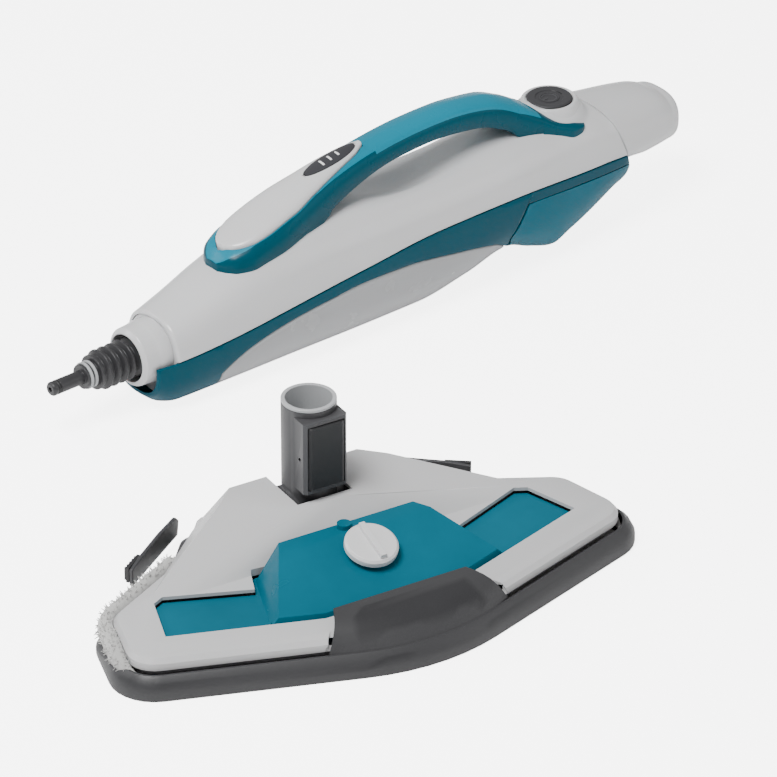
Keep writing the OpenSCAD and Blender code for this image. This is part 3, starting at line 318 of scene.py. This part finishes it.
HALF_KEYS = [(70, 23.6), (76, 25), (84, 27), (110, 30), (165, HALF - 3), (260, HALF), (380, HALF),
             (SEAM, HALF - 6),
             (TAIL - 20, HALF - 11), (TAIL, HALF - 16)]
TOP_KEYS = [(70, 57.5), (84, 61), (105, 67.5), (135, CREST - 18), (165, CREST - 9), (200, CREST - 4),
            (330, CREST - 3),
            (390, CREST), (430, CREST - 1), (SEAM, CREST - 5), (TAIL - 20, CREST - 12), (TAIL, CREST - 20)]
BOTTOM_KEYS = [(70, 9), (78, 3), (90, 0), (288, 0), (330, 7), (DOCK - 4, 15), (DOCK, 15), (386, 7),
               (408, 0.8), (420, 7),
               (SEAM - 14, 25), (SEAM - 0.5, 35), (SEAM, 45), (TAIL - 40, 43), (TAIL, 44)]
BAND_TOP = [(66, 35), (100, 38), (133, 42), (166, 47), (232, 56), (299, 62), (369, 63), (441, 58), (480, 54)]
BAND_LOW = [(108, 5), (122, 20), (139, 30), (170, 39), (203, 44), (237, 47), (272, 46), (309, 41), (347, 33),
            (362, 24)]


def hump(t):
    return 0 if abs(t) >= 1 else (1 + math.cos(math.pi * t)) / 2


def ease(t):
    x = min(1, max(0, t))
    return x * x * (3 - 2 * x)


def scoop(u, v):
    """The finger recess under the grip: a dish with a soft lip."""
    return SCOOP_DEPTH * hump((u - SCOOP_U) / 62) * hump(v / 25)


def collar_rise(u, v):
    """The housing swells up round the power button, and drops out of sight under it."""
    r = math.hypot(u - COLLAR_U, v)
    return COLLAR_H * ease((COLLAR_R - r) / 6) - 6 * ease((POWER_R - 1 - r) / 3) if r < COLLAR_R else 0


def power(x, p):
    return -((-x) ** p) if x < 0 else x ** p


def mid(u):
    return (curve(TOP_KEYS, u) + curve(BOTTOM_KEYS, u)) / 2


def body_rise(u):
    return (curve(TOP_KEYS, u) - curve(BOTTOM_KEYS, u)) / 2


def angle_at(u, w):
    return math.degrees(math.asin(min(1, max(-1, power((w - mid(u)) / body_rise(u), N / 2)))))


def lean(u):
    return SLANT * ease((u - SEAM + 44) / 44) * (1 - ease((u - SEAM) / (TAIL - TAIL_ROUND - SEAM)))


def body_point(u, a, inset, raised=True):
    """A point of the body's section at u, at the angle a round it and inset from its skin."""
    ca, sa = math.cos(math.radians(a)), math.sin(math.radians(a))
    v = (curve(HALF_KEYS, u) - inset) * power(ca, 2 / N)
    w = mid(u) + (body_rise(u) - inset) * power(sa, 2 / N)
    top = curve(TOP_KEYS, u)
    if sa > 0:
        x = u + lean(u) * (top - w)
        lift = -scoop(u, v) + (collar_rise(x, v) if raised and inset < 3 else 0) * (0.3 + 0.7 * sa)
        return (x, v, w + lift)
    return (u + lean(u) * (top - w), v, w)


def crest_at(u, v):
    """The height of the body's upper skin."""
    t = min(0.999, abs(v) / curve(HALF_KEYS, u))
    return mid(u) + body_rise(u) * (1 - t ** N) ** (1 / N) - scoop(u, v)


def spread(first, last, n):
    return [first + (last - first) * k / n for k in range(n + 1)]


def shell(name, us, angles, body, node, mats, edge=0.9, thick=WALL, ends=(True, True), face_mat=None,
          point=body_point):
    """The body's skin between two edges that roll in to form the seams."""
    rows = []

    def row(u, inset):
        angs = angles(u)
        step_in = (angs[1] - angs[0]) * 0.25
        line = [point(u, angs[0], thick), point(u, angs[0], edge + inset),
                point(u, angs[0] + step_in, inset + 0.15)]
        line += [point(u, a, inset) for a in angs[1:-1]]
        line += [point(u, angs[-1] - step_in, inset + 0.15), point(u, angs[-1], edge + inset),
                 point(u, angs[-1], thick)]
        return line

    if ends[0]:
        rows += [row(us[0], thick), row(us[0], edge)]
        us = [us[0] + 0.7] + us[1:]
    rows += [row(u, 0) for u in us[:-1]]
    if ends[1]:
        rows += [row(us[-1] - 0.7, 0), row(us[-1], edge), row(us[-1], thick)]
    else:
        rows.append(row(us[-1], 0))
    mesh = grid_mesh(name, in_place(rows), angle=50, face_mat=face_mat)
    obj = add(name, mesh, body, mats)
    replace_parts(obj, node)
    return obj


def upper_angles(u):
    a = angle_at(u, curve(BAND_TOP, u) + SEAM_HALF)
    return spread(a, 180 - a, 76)


shell("upper_housing_look", spread(84, SEAM, 150), upper_angles, "hand_unit", "upper_housing",
      ["white_gloss"])


def band_edges(u, tail):
    """The band's lower and upper edge as angles; behind the hull only its top strip goes on."""
    top = angle_at(u, curve(BAND_TOP, u) - SEAM_HALF)
    if tail:
        return min(angle_at(u, curve(BAND_TOP, u) - STRIP), top - 3), top
    return min(angle_at(u, curve(BAND_LOW, min(HULL_END, max(u, CHIN_END)))), top - 3), top


def band_point(u, a, inset):
    """The band's end leans back as the tank's front does, so that their seam is even."""
    tail = u > HULL_END
    f = 1 - ease((u - HULL_END) / 70) if tail else ease((u - HULL_END + 50) / 50)
    if f <= 0:
        return body_point(u, a, inset)
    b = 180 - a if a > 90 else a
    w = body_point(u, b, inset)[2]
    u2 = u + f * (DOCK - 1.2 - HULL_END + 0.54 * (max(w, 2 * TANK_MID - w) - 40))
    low, top = band_edges(u, tail)
    low2, top2 = band_edges(u2, tail)
    b = low2 + (b - low) * (top2 - low2) / (top - low)
    return body_point(u2, 180 - b if a > 90 else b, inset)


def chin_angles(u):
    top = angle_at(u, curve(BAND_TOP, u) - SEAM_HALF)
    return spread(180 - top, 360 + top, 70)


shell("side_band_chin", spread(70, CHIN_END, 26), chin_angles, "hand_unit", "side_band",
      ["band_teal"],
             ends=(True, False))
band_us = spread(CHIN_END, HULL_END, 90)
tail_us = spread(HULL_END + 0.8, SEAM, 40)
for side, suffix in ((1, "left"), (-1, "right")):
    def strip_angles(u, side=side):
        a = spread(*band_edges(u, u > HULL_END), 12)
        return a if side > 0 else [180 - x for x in reversed(a)]
    shell("side_band_" + suffix, band_us + tail_us, strip_angles, "hand_unit", "side_band",
          ["band_teal"],
          ends=(False, True), point=band_point)


def hull_angles(u):
    a = angle_at(u, curve(BAND_LOW, u) - SEAM_HALF)
    return spread(180 - a, 360 + a, 70)


shell("lower_hull_look", spread(CHIN_END + 0.5, HULL_END, 90), hull_angles, "hand_unit", "lower_hull",
      ["hull_grey"])

# End cap: leaning sections that close over the tail
CAP_COLS = 96


def cap_ring(u, inset):
    return [body_point(u, 360 * k / CAP_COLS, inset, raised=False) for k in range(CAP_COLS)]


cap_rows = [cap_ring(SEAM + 0.35, WALL), cap_ring(SEAM + 0.35, 0.9)]
cap_rows += [cap_ring(u, 0) for u in spread(SEAM + 1.0, TAIL - TAIL_ROUND, 40)]
for k in range(1, 10):
    t = math.radians(90 * k / 9)
    u = TAIL - TAIL_ROUND + 7.4 * math.sin(t)
    scale = 1 - 0.17 * (1 - math.cos(t))
    ring = cap_ring(TAIL - TAIL_ROUND, 0)
    cap_rows.append([(u, v * scale, TAIL_Z + (w - TAIL_Z) * scale) for (_, v, w) in ring])
last = cap_rows[-1]
for s in (0.9, 0.75, 0.6, 0.45, 0.3):
    cap_rows.append([(TAIL - 0.45 - (0.9 if s < 0.4 else 0), v * s, TAIL_Z + (w - TAIL_Z) * s)
                     for (_, v, w) in last])
cap_mesh = grid_mesh("end_cap_look", in_place(cap_rows), closed=True, angle=50)
cap_obj = add("end_cap_look", cap_mesh, "hand_unit", ["white_gloss"])
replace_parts(cap_obj, "end_cap")

# ---------- handle, trigger and buttons ----------

H0, H1, HANDLE_N, PRONG_ROUND = 133, 436, 2.8, 4
TOP_H = [(H0, 84), (139, 90), (150, 95), (165, 101), (200, HANDLE_H - 18), (230, HANDLE_H - 10),
         (262, HANDLE_H - 4.5),
         (298, HANDLE_H - 0.8), (325, HANDLE_H), (362, HANDLE_H - 4), (385, HANDLE_H - 13),
         (402, HANDLE_H - 24), (414, HANDLE_H - 32),
         (426, CREST - 1.5), (H1, CREST - 7)]
UNDER_H = [(H0, 60), (190, 70), (205, 84), (218, 93), (249, HANDLE_H - 26), (279, HANDLE_H - 19),
           (309, HANDLE_H - 17),
           (350, HANDLE_H - 21), (372, 102), (386, 93), (414, 80), (H1, 70)]
HALF_H = [(H0, 6), (136, 12), (142, 18), (155, 22.5), (175, 23), (200, GRIP + 6), (230, GRIP + 2),
          (262, GRIP), (340, GRIP),
          (380, GRIP + 3), (400, GRIP + 6.5), (412, GRIP + 10), (424, GRIP + 13), (430, GRIP + 12.5),
          (H1, GRIP + 10.5)]
T0, T1, TRIGGER_N = 140.5, 258, 2.4
TRIG = [(T0, 3), (143, 8), (148, 12.5), (158, 16.5), (170, 17.5), (188, 16.8), (210, 13), (235, 9), (250, 6),
        (T1, 2.5)]


def handle_bottom(u, v):
    return max(curve(UNDER_H, u), crest_at(u, v) - 0.5)


def handle_skin(u, v):
    half = curve(HALF_H, u)
    low = handle_bottom(u, half) + 3.5
    top = curve(TOP_H, u)
    t = min(1, abs(v) / half)
    return low + (max(top, low + 1) - low) * (1 - t ** HANDLE_N) ** (1 / HANDLE_N)


def trig_half(u):
    return curve(TRIG, min(T1, max(T0, u)))


FORK_R = POWER_R + 7.2
FORK_U = COLLAR_U - FORK_R


def prong_rows(side):
    """One arm of the handle's rear fork, which runs back beside the power button's collar."""
    rows = []
    tip = H1 - PRONG_ROUND
    us = spread(FORK_U + 0.05, tip, 60) + [tip + PRONG_ROUND * math.sin(math.radians(90 * k / 6))
                                           for k in range(1, 7)]
    for u in us:
        inner = math.sqrt(max(0, FORK_R ** 2 - (u - COLLAR_U) ** 2))
        half = curve(HALF_H, u)
        shrink = 1 if u < tip else math.sqrt(max(0.04, 1 - ((u - H1 + PRONG_ROUND) / PRONG_ROUND) ** 2))
        middle = (inner + half) / 2
        tops = [inner + (half - inner) * math.cos(math.radians(a)) ** (2 / HANDLE_N)
                for a in (0, 6, 14, 24, 35, 47, 58, 70, 82)] + [inner]
        line = []
        for v in tops:
            low = handle_bottom(u, v)
            line.append((v, low + max(0.4, handle_skin(u, min(v, half)) - low) * (0.25 + 0.75 * shrink)))
        line += [(inner + (half - inner) * k / 4, handle_bottom(u, inner + (half - inner) * k / 4))
                 for k in range(5)]
        rows.append([(u, side * (middle + (v - middle) * shrink), w) for v, w in line])
    return rows


def handle_rows():
    rows = []
    us = spread(H0, 138.5, 8) + spread(139.9, 258.6, 70) + spread(259.2, FORK_U, 80)
    for u in us:
        half = curve(HALF_H, u)
        deep = 139.9 <= u <= 258.6
        pocket = trig_half(u) + GAP if deep else 0
        drop = 7 if deep else 0
        side = [half * math.cos(math.radians(a)) ** (2 / HANDLE_N) for a in (0, 6, 14, 24, 35, 47, 58)]
        inner_edge = max(pocket, half * 0.02)
        side = [max(s, inner_edge + 0.3 + 0.15 * (6 - k)) for k, s in enumerate(side)]
        tops = [(u, v, handle_skin(u, v))
                for v in side] + [(u, inner_edge + 0.05, handle_skin(u, inner_edge))]
        flat = [inner_edge * f for f in (1, 0.5, 0, -0.5, -1)]
        tops += [(u, v, handle_skin(u, v) - drop) for v in flat]
        tops.append((u, -inner_edge - 0.05, handle_skin(u, inner_edge)))
        tops += [(u, -v, handle_skin(u, v)) for v in reversed(side)]
        bottoms = []
        for k in range(-6, 7):
            v = half * 0.97 * math.sin(math.radians(90 * k / 6))
            b = handle_bottom(u, v)
            free = handle_bottom(u, 0) > crest_at(u, 0) + 1
            round_up = 2.6 * (abs(k) / 6) ** 3 if free else 0
            bottoms.append((u, v, b + round_up))
        rows.append(tops + bottoms)
    return rows


h_rows = handle_rows()
row_len = len(h_rows[0])


def handle_face(i, j):
    """Light teal on top of the grip; painted shade, a darker copy of the teal, at the sides, below, and round
    the trigger.
    """
    u = h_rows[i][0][0]
    light_from = 4 if u > 262 else 5
    top_cols = row_len - 13
    return 0 if light_from <= j < top_cols - 1 - light_from else 1


h_mesh = grid_mesh("handle_look", in_place(h_rows), closed=True, caps=True, angle=45, face_mat=handle_face)
bm = bmesh.new()
bm.from_mesh(h_mesh)
for side in (1, -1):
    # The prongs take the painted-shade copy of the teal all over.
    prong = grid_mesh("prong", in_place(prong_rows(side)), closed=True, caps=True, angle=45,
                      face_mat=lambda i, j: 1)
    bm.from_mesh(prong)
    bpy.data.meshes.remove(prong)
bm.to_mesh(h_mesh)
bm.free()
# Slot 0 is the handle's teal; slot 1 is its painted shade.
handle = add("handle_look", h_mesh, "hand_unit", ["handle_teal", "handle_painted_shade"])
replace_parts(handle, "handle")


def trig_skin(u, v):
    """The height of the trigger's crowned top."""
    half = trig_half(u)
    t = min(1, abs(v) / half)
    base = handle_skin(u, half)
    return base + 0.6 + (curve(TOP_H, u) + 2.6 - base - 0.6) * (1 - t ** TRIGGER_N) ** (1 / TRIGGER_N)


L0, L1, LH = 211, 254, 6.6


def level_reach(u):
    t = (2 * u - L0 - L1) / (L1 - L0)
    return 0 if abs(t) >= 1 else min(LH * math.sqrt(1 - t * t), curve(TRIG, u) - 1.6)


def trigger_rows():
    rows = []
    us = [T0 + (T1 - T0) * (1 - math.cos(math.radians(90 * k / 12))) * 0.5 for k in range(12)]
    us = us + spread(us[-1] + 0.8, T1 - 0.5, 90) + [T1]
    for u in us:
        half = curve(TRIG, u)
        reach = level_reach(u)
        inner = max(reach + 0.15, 0.2)
        drop = 1.6 if reach > 0.4 else 0
        if reach <= 0.4:
            inner = half * 0.2
        fr = (0, 4, 10, 18, 28, 40, 52, 64)
        side = [max(half * math.cos(math.radians(a)) ** (2 / TRIGGER_N), inner + 0.05 * (9 - k)) for k,
                a in enumerate(fr)]
        side = [min(s, half) for s in side]
        tops = [(u, v, trig_skin(u, v)) for v in side] + [(u, inner + 0.02, trig_skin(u, inner))]
        tops += [(u, v, trig_skin(u, v) - drop) for v in (inner, inner / 2, 0, -inner / 2, -inner)]
        tops += [(u, -inner - 0.02, trig_skin(u, inner))] + [(u, -v, trig_skin(u, v)) for v in reversed(side)]
        bottoms = [(u, half * k / 3, handle_skin(u, half * k / 3) - 3.2) for k in range(-3, 4)]
        rows.append(tops + bottoms)
    return rows


t_mesh = grid_mesh("steam_trigger_look", in_place(trigger_rows()), closed=True, caps=True, angle=50)
trigger = add("steam_trigger_look", t_mesh, "steam_trigger", ["trigger_white"])
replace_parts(trigger, "steam_trigger")

# The dark oval on the trigger, crowned and with three dashes
l_rows = []
for u in spread(L0 + 1.2, L1 - 1.2, 44):
    half = max(0.15, level_reach(u) - 0.2)
    top = [(u, half * f, trig_skin(u, half * f) + 0.15 + 0.35 * (1 - f * f))
           for f in (1, 0.97, 0.85, 0.6, 0.3, 0, -0.3, -0.6, -0.85, -0.97, -1)]
    low = [(u, half * f, trig_skin(u, half * f) - 0.9) for f in (-1, -0.5, 0, 0.5, 1)]
    l_rows.append([at_hand(p) for p in top + low])
l_mesh = grid_mesh("level_button_look", l_rows, closed=True, caps=True, angle=50)
level = add("level_button_look", l_mesh, "level_button", ["level_dark"])
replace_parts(level, "level_button")


def ribbon(name, path, half_w, thick, skin, body, mat):
    """A thin raised mark along a path of (u, v) points on a surface w = skin(u, v), in mm."""
    rows = []
    for i, (u, v) in enumerate(path):
        a, b = path[max(0, i - 1)], path[min(len(path) - 1, i + 1)]
        d = Vector((b[0] - a[0], b[1] - a[1])).normalized()
        n = Vector((-d.y, d.x))
        prof = ((-1, -0.4), (-1, 0.55), (-0.8, 1), (0.8, 1), (1, 0.55), (1, -0.4))
        row = []
        for s, h in prof:
            x, y = u + n.x * half_w * s, v + n.y * half_w * s
            row.append(at_hand((x, y, skin(x, y) + thick * h)))
        rows.append(row)
    mesh = grid_mesh(name, rows, closed=True, caps=True, angle=40)
    return add(name, mesh, body, [mat])


def level_skin(u, v):
    half = max(0.3, level_reach(u) - 0.2)
    return trig_skin(u, v) + 0.15 + 0.35 * (1 - min(1, (v / half) ** 2))


for k, u in enumerate((226, 232.5, 239)):
    reach = 3.0 - 0.35 * k
    ribbon(f"level_dash_{k + 1}", [(u + 0.25 * s, s * reach) for s in (-1, -0.5, 0, 0.5, 1)], 0.7, 0.22,
           level_skin,
           "level_button", "mark_white")

BUTTON_TOP, BUTTON_DISH, MARK_R = CREST + 8, 1.05, 5.0


def button_skin(u, v):
    return BUTTON_TOP - BUTTON_DISH


arc = [(COLLAR_U + MARK_R * math.cos(math.radians(a)), MARK_R * math.sin(math.radians(a)))
       for a in range(-140, 141, 10)]
ribbon("power_mark_arc", arc, 0.45, 0.3, button_skin, "power_button", "mark_grey")
bar = [(COLLAR_U - x, 0) for x in (6.2, 4, 1.6)]
ribbon("power_mark_bar", bar, 0.45, 0.3, button_skin, "power_button", "mark_grey")

# ---------- water tank ----------


def tank_top(u):
    return curve(BAND_TOP, u) - STRIP - GAP


def water_ring(u, inset, slope, n=48):
    a = angle_at(u, tank_top(u) - inset)
    ring = []
    for k in range(n + 1):
        b = 180 - a + (180 + 2 * a) * k / n
        x, v, w = body_point(u, b, inset)
        ring.append((x + slope * (max(w, 2 * TANK_MID - w) - 40), v, w))
    return ring


def water_rows(inset):
    """The tank's rings from its leaning front to the seam, inset by a wall for its inner side."""
    us = spread(DOCK + 1 + inset, SEAM - GAP - inset, 60)
    return [water_ring(u, inset, TANK_LEAN * max(0, 1 - (u - DOCK) / 60)) for u in us]


w_mesh = grid_mesh("water_tank_look", in_place(water_rows(0)), closed=True, caps=True, angle=28)
w_in = grid_mesh("inner", in_place(water_rows(TANK_WALL)), closed=True, caps=True, angle=28)
bm = bmesh.new()
bm.from_mesh(w_in)
bmesh.ops.reverse_faces(bm, faces=bm.faces)
bm.from_mesh(w_mesh)
bm.to_mesh(w_mesh)
bm.free()
water = add("water_tank_look", w_mesh, "water_tank", ["tank_teal"])
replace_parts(water, "water_tank")

# ---------- microfibre pad: a tufted edge that bulges over the low rim, and a looped sole ----------

WING_HALF, WING_FRONT, FRONT_TILT, NOSE_R, HEAD_BACK, BACK_HALF = 190, 100, 18.6, 143, 46, 66
PAD_COLS, LOOP_PITCH, TUFTS = 18, 2.6, 4


def head_plan(g, steps=7):
    """The floor head's outline in plan, grown outwards by g."""
    lean_out = math.radians(105)
    front = Vector((WING_HALF, -WING_FRONT))
    rear = front + 71 * Vector((math.cos(lean_out), math.sin(lean_out)))
    side = [front, rear, Vector((BACK_HALF + 32, HEAD_BACK - 38)), Vector((BACK_HALF, HEAD_BACK))]
    radii = [29, 30, -30, 14]
    pts = [Vector((0, -WING_FRONT - WING_HALF * math.tan(math.radians(FRONT_TILT))))] + side
    pts += [Vector((-q.x, q.y)) for q in reversed(side)]
    radii = [NOSE_R] + radii + radii[::-1]
    n = len(pts)
    grown = []
    for k in range(n):
        a = (pts[k] - pts[k - 1]).normalized()
        b = (pts[(k + 1) % n] - pts[k]).normalized()
        na, nb = Vector((a.y, -a.x)), Vector((b.y, -b.x))
        grown.append(pts[k] + g * (na + nb) / (1 + na.dot(nb)))
    out = []
    for k in range(n):
        r = -radii[k] - g if radii[k] < 0 else max(1, radii[k] + g)
        a, b, c = grown[k - 1], grown[k], grown[(k + 1) % n]
        ta, tc = (a - b).normalized(), (c - b).normalized()
        half = ta.angle(tc) / 2
        centre = b + (ta + tc).normalized() * r / math.sin(half)
        s, e = b + ta * r / math.tan(half) - centre, b + tc * r / math.tan(half) - centre
        first = math.atan2(s.y, s.x)
        sweep = (math.atan2(e.y, e.x) - first + math.pi) % (2 * math.pi) - math.pi
        turns = [first + sweep * i / steps for i in range(steps + 1)]
        out += [centre + r * Vector((math.cos(a), math.sin(a))) for a in turns]
    return out


def evenly(points, pitch):
    """The closed line through points, stepped at about one pitch."""
    ring = []
    for k, a in enumerate(points):
        b = points[(k + 1) % len(points)]
        n = max(1, round((b - a).length / pitch))
        ring += [a.lerp(b, i / n) for i in range(n)]
    return ring


def make_pad():
    """The pad: a lumpy bulge along its edge, full at the left wing, with tufts, and a looped sole."""
    ring = evenly(head_plan(-9.0, 10), 1.6)
    n = len(ring)
    bm = bmesh.new()
    rows, fullness = [], []
    for k, q in enumerate(ring):
        d = (ring[(k + 2) % n] - ring[k - 2]).normalized()
        way = Vector((d.y, -d.x, 0))
        full = ease((q.y + 98) / 30) * ease((abs(q.x) - 84) / 14)
        full *= 0.25 if q.x > 0 else 1
        centre = Vector((q.x, q.y, 0)) + way * (3.9 * full - 1.2) + Vector((0, 0, 7.2 + 8.6 * full))
        across, high = 1.0 + 3.9 * full, 3.4 + 4.4 * full
        row = []
        for j in range(PAD_COLS):
            a = math.tau * j / PAD_COLS
            base = centre + way * (across * math.cos(a)) + Vector((0, 0, high * math.sin(a)))
            out = (way * math.cos(a) + Vector((0, 0, math.sin(a)))).normalized()
            lump = noise.noise(base * 0.42) * 0.75 + noise.noise(base * 1.3) * 0.35
            row.append((base + out * lump * full, out))
        rows.append(row)
        fullness.append(full)
    grid = [[bm.verts.new(q * MM) for q, _ in row] for row in rows]
    for k in range(n):
        for j in range(PAD_COLS):
            here, there = grid[k], grid[(k + 1) % n]
            bm.faces.new([here[j], there[j], there[(j + 1) % PAD_COLS], here[(j + 1) % PAD_COLS]])
    # Tufts: short bent strands that stand out of the bulge
    for k in range(n):
        if fullness[k] < 0.35:
            continue
        for _ in range(TUFTS):
            j = random.choice((16, 17, 0, 1, 2, 3, 4, 5, 6))
            foot, out = rows[k][j]
            way = (out + Vector([random.uniform(-0.55, 0.55) for _ in range(3)])).normalized()
            bend = Vector([random.uniform(-0.6, 0.6) for _ in range(3)])
            side = way.orthogonal().normalized()
            other = way.cross(side)
            length = random.uniform(1.6, 2.9) * fullness[k]
            strand = []
            for i in range(4):
                t = i / 3
                c = foot + way * length * t + bend * t * t * 0.9
                r = 0.5 * (1 - 0.5 * t)
                strand.append([bm.verts.new((c + (side * math.cos(a) + other * math.sin(a)) * r) * MM)
                               for a in (0, 2.09, 4.19)])
            for lo, hi in zip(strand, strand[1:]):
                for i in range(3):
                    bm.faces.new([lo[i], lo[(i + 1) % 3], hi[(i + 1) % 3], hi[i]])
            bm.faces.new(strand[-1])
    # Looped sole between the slats
    edge = head_plan(-10.5)

    def inside(x, y):
        hit = False
        for i, a in enumerate(edge):
            b = edge[i - 1]
            if (a.y > y) != (b.y > y) and x < (b.x - a.x) * (y - a.y) / (b.y - a.y) + a.x:
                hit = not hit
        return hit

    spots = {}
    for i in range(-70, 71):
        for j in range(-62, 18):
            x, y = i * LOOP_PITCH, j * LOOP_PITCH
            if inside(x, y):
                z = 2.75 + 0.35 * math.sin(i * 2.1) * math.sin(j * 2.3) * 0.5
                z += 0.3 * noise.noise(Vector((x, y, 0)) * 0.3)
                spots[i, j] = bm.verts.new(Vector((x, y, max(2.35, z))) * MM)
    for (i, j), v in spots.items():
        if all(c in spots for c in ((i + 1, j), (i + 1, j + 1), (i, j + 1))):
            bm.faces.new([v, spots[i, j + 1], spots[i + 1, j + 1], spots[i + 1, j]])
    for f in bm.faces:
        f.smooth = True
    mesh = bpy.data.meshes.new("microfibre_pad_look")
    bm.to_mesh(mesh)
    bm.free()
    obj = add("microfibre_pad_look", mesh, "head", ["pad_fabric"])
    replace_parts(obj, "microfibre_pad")


make_pad()

# ---------- other CAD nodes: cleaned, rounded and painted ----------

done = {n for o in bpy.data.objects for n in o.get("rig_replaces", [])}
WIDTH = {"head_cover": 1.0, "detergent_tank": 0.6, "glider_frame": 0.5, "tank_cap": 0.8, "neck_tube": 0.8,
         "neck_latch": 0.6,
         "neck_liner": 0.5, "nozzle_collar": 0.7, "steam_nozzle": 0.35, "power_bezel": 1.0,
         "power_button": 0.4,
         "glider_latch_left": 0.8, "glider_latch_right": 0.8, "latch_tab_left": 0.4, "latch_tab_right": 0.4,
         "nozzle_rings": 0.3, "cord_gland": 0.5}
OWN = {"head_cover": "cover_white"}
for node_name in frame["nodes"]:
    if node_name in done:
        continue
    width = WIDTH.get(node_name, 0.25)
    refined(node_name, width, 32, OWN.get(node_name), segments=3 if width > 0.6 else 2)

# ---------- floor, light and camera ----------

bm = bmesh.new()
bmesh.ops.create_grid(bm, x_segments=8, y_segments=8, size=6)
floor_mesh = bpy.data.meshes.new("floor")
bm.to_mesh(floor_mesh)
bm.free()
floor = bpy.data.objects.new("floor", floor_mesh)
floor.location = (0, 0, -0.0002)
bpy.context.scene.collection.objects.link(floor)
floor_look = material("floor_pale", (0.93, 0.93, 0.93), 0.7, bump=0.0, patch=0.004)
floor_tree = floor_look.node_tree
floor_shader = floor_tree.nodes["Principled BSDF"]
floor_shader.inputs["Emission Color"].default_value = (1, 1, 1, 1)
path = floor_tree.nodes.new("ShaderNodeLightPath")
glow = floor_tree.nodes.new("ShaderNodeMapRange")
glow.inputs["To Min"].default_value = 0.25
glow.inputs["To Max"].default_value = 5.0
floor_tree.links.new(path.outputs["Is Camera Ray"], glow.inputs["Value"])
floor_tree.links.new(glow.outputs["Result"], floor_shader.inputs["Emission Strength"])
floor_mesh.materials.append(floor_look)

world = bpy.data.worlds.new("studio")
bpy.context.scene.world = world
world.use_nodes = True
world.node_tree.nodes["Background"].inputs["Color"].default_value = (1, 1, 1, 1)
world.node_tree.nodes["Background"].inputs["Strength"].default_value = 0.45


def area(name, where, towards, size, watts):
    light = bpy.data.lights.new(name, "AREA")
    light.shape = "RECTANGLE"
    light.size, light.size_y = size
    light.energy = watts
    obj = bpy.data.objects.new(name, light)
    obj.location = where
    obj.rotation_euler = (Vector(towards) - Vector(where)).to_track_quat("-Z", "Y").to_euler()
    bpy.context.scene.collection.objects.link(obj)


area("key", (-0.9, -0.3, 2.1), (0.05, 0.1, 0.03), (1.0, 0.8), 72)
area("fill", (1.6, -1.2, 0.9), (0.1, 0.1, 0.03), (1.2, 1.0), 5)
area("back", (-1.6, 1.5, 1.5), (0.0, 0.1, 0.05), (1.2, 0.6), 14)

# The picture is square; SCALE is its width in metres at the object
TURN, TILT, DEPTH, SCALE, SENSOR = math.radians(30.7), math.radians(30.4), 4.0, 777 / 1630.0, 36
forward = Vector((math.sin(TURN) * math.cos(TILT), math.cos(TURN) * math.cos(TILT), -math.sin(TILT)))
right = Vector((math.cos(TURN), -math.sin(TURN), 0))
up = right.cross(forward)
aim = Vector((-0.007, -0.1, 0))
eye = aim - forward * DEPTH + right * 0.0042 + up * 0.1443
cam_data = bpy.data.cameras.new("camera")
cam_data.sensor_width = SENSOR
cam_data.lens = SENSOR * DEPTH / SCALE
cam_data.clip_end = 50
camera = bpy.data.objects.new("camera", cam_data)
turn = Matrix((right, up, -forward)).transposed().to_4x4()
camera.matrix_world = Matrix.Translation(eye) @ turn
bpy.context.scene.collection.objects.link(camera)
bpy.context.scene.camera = camera
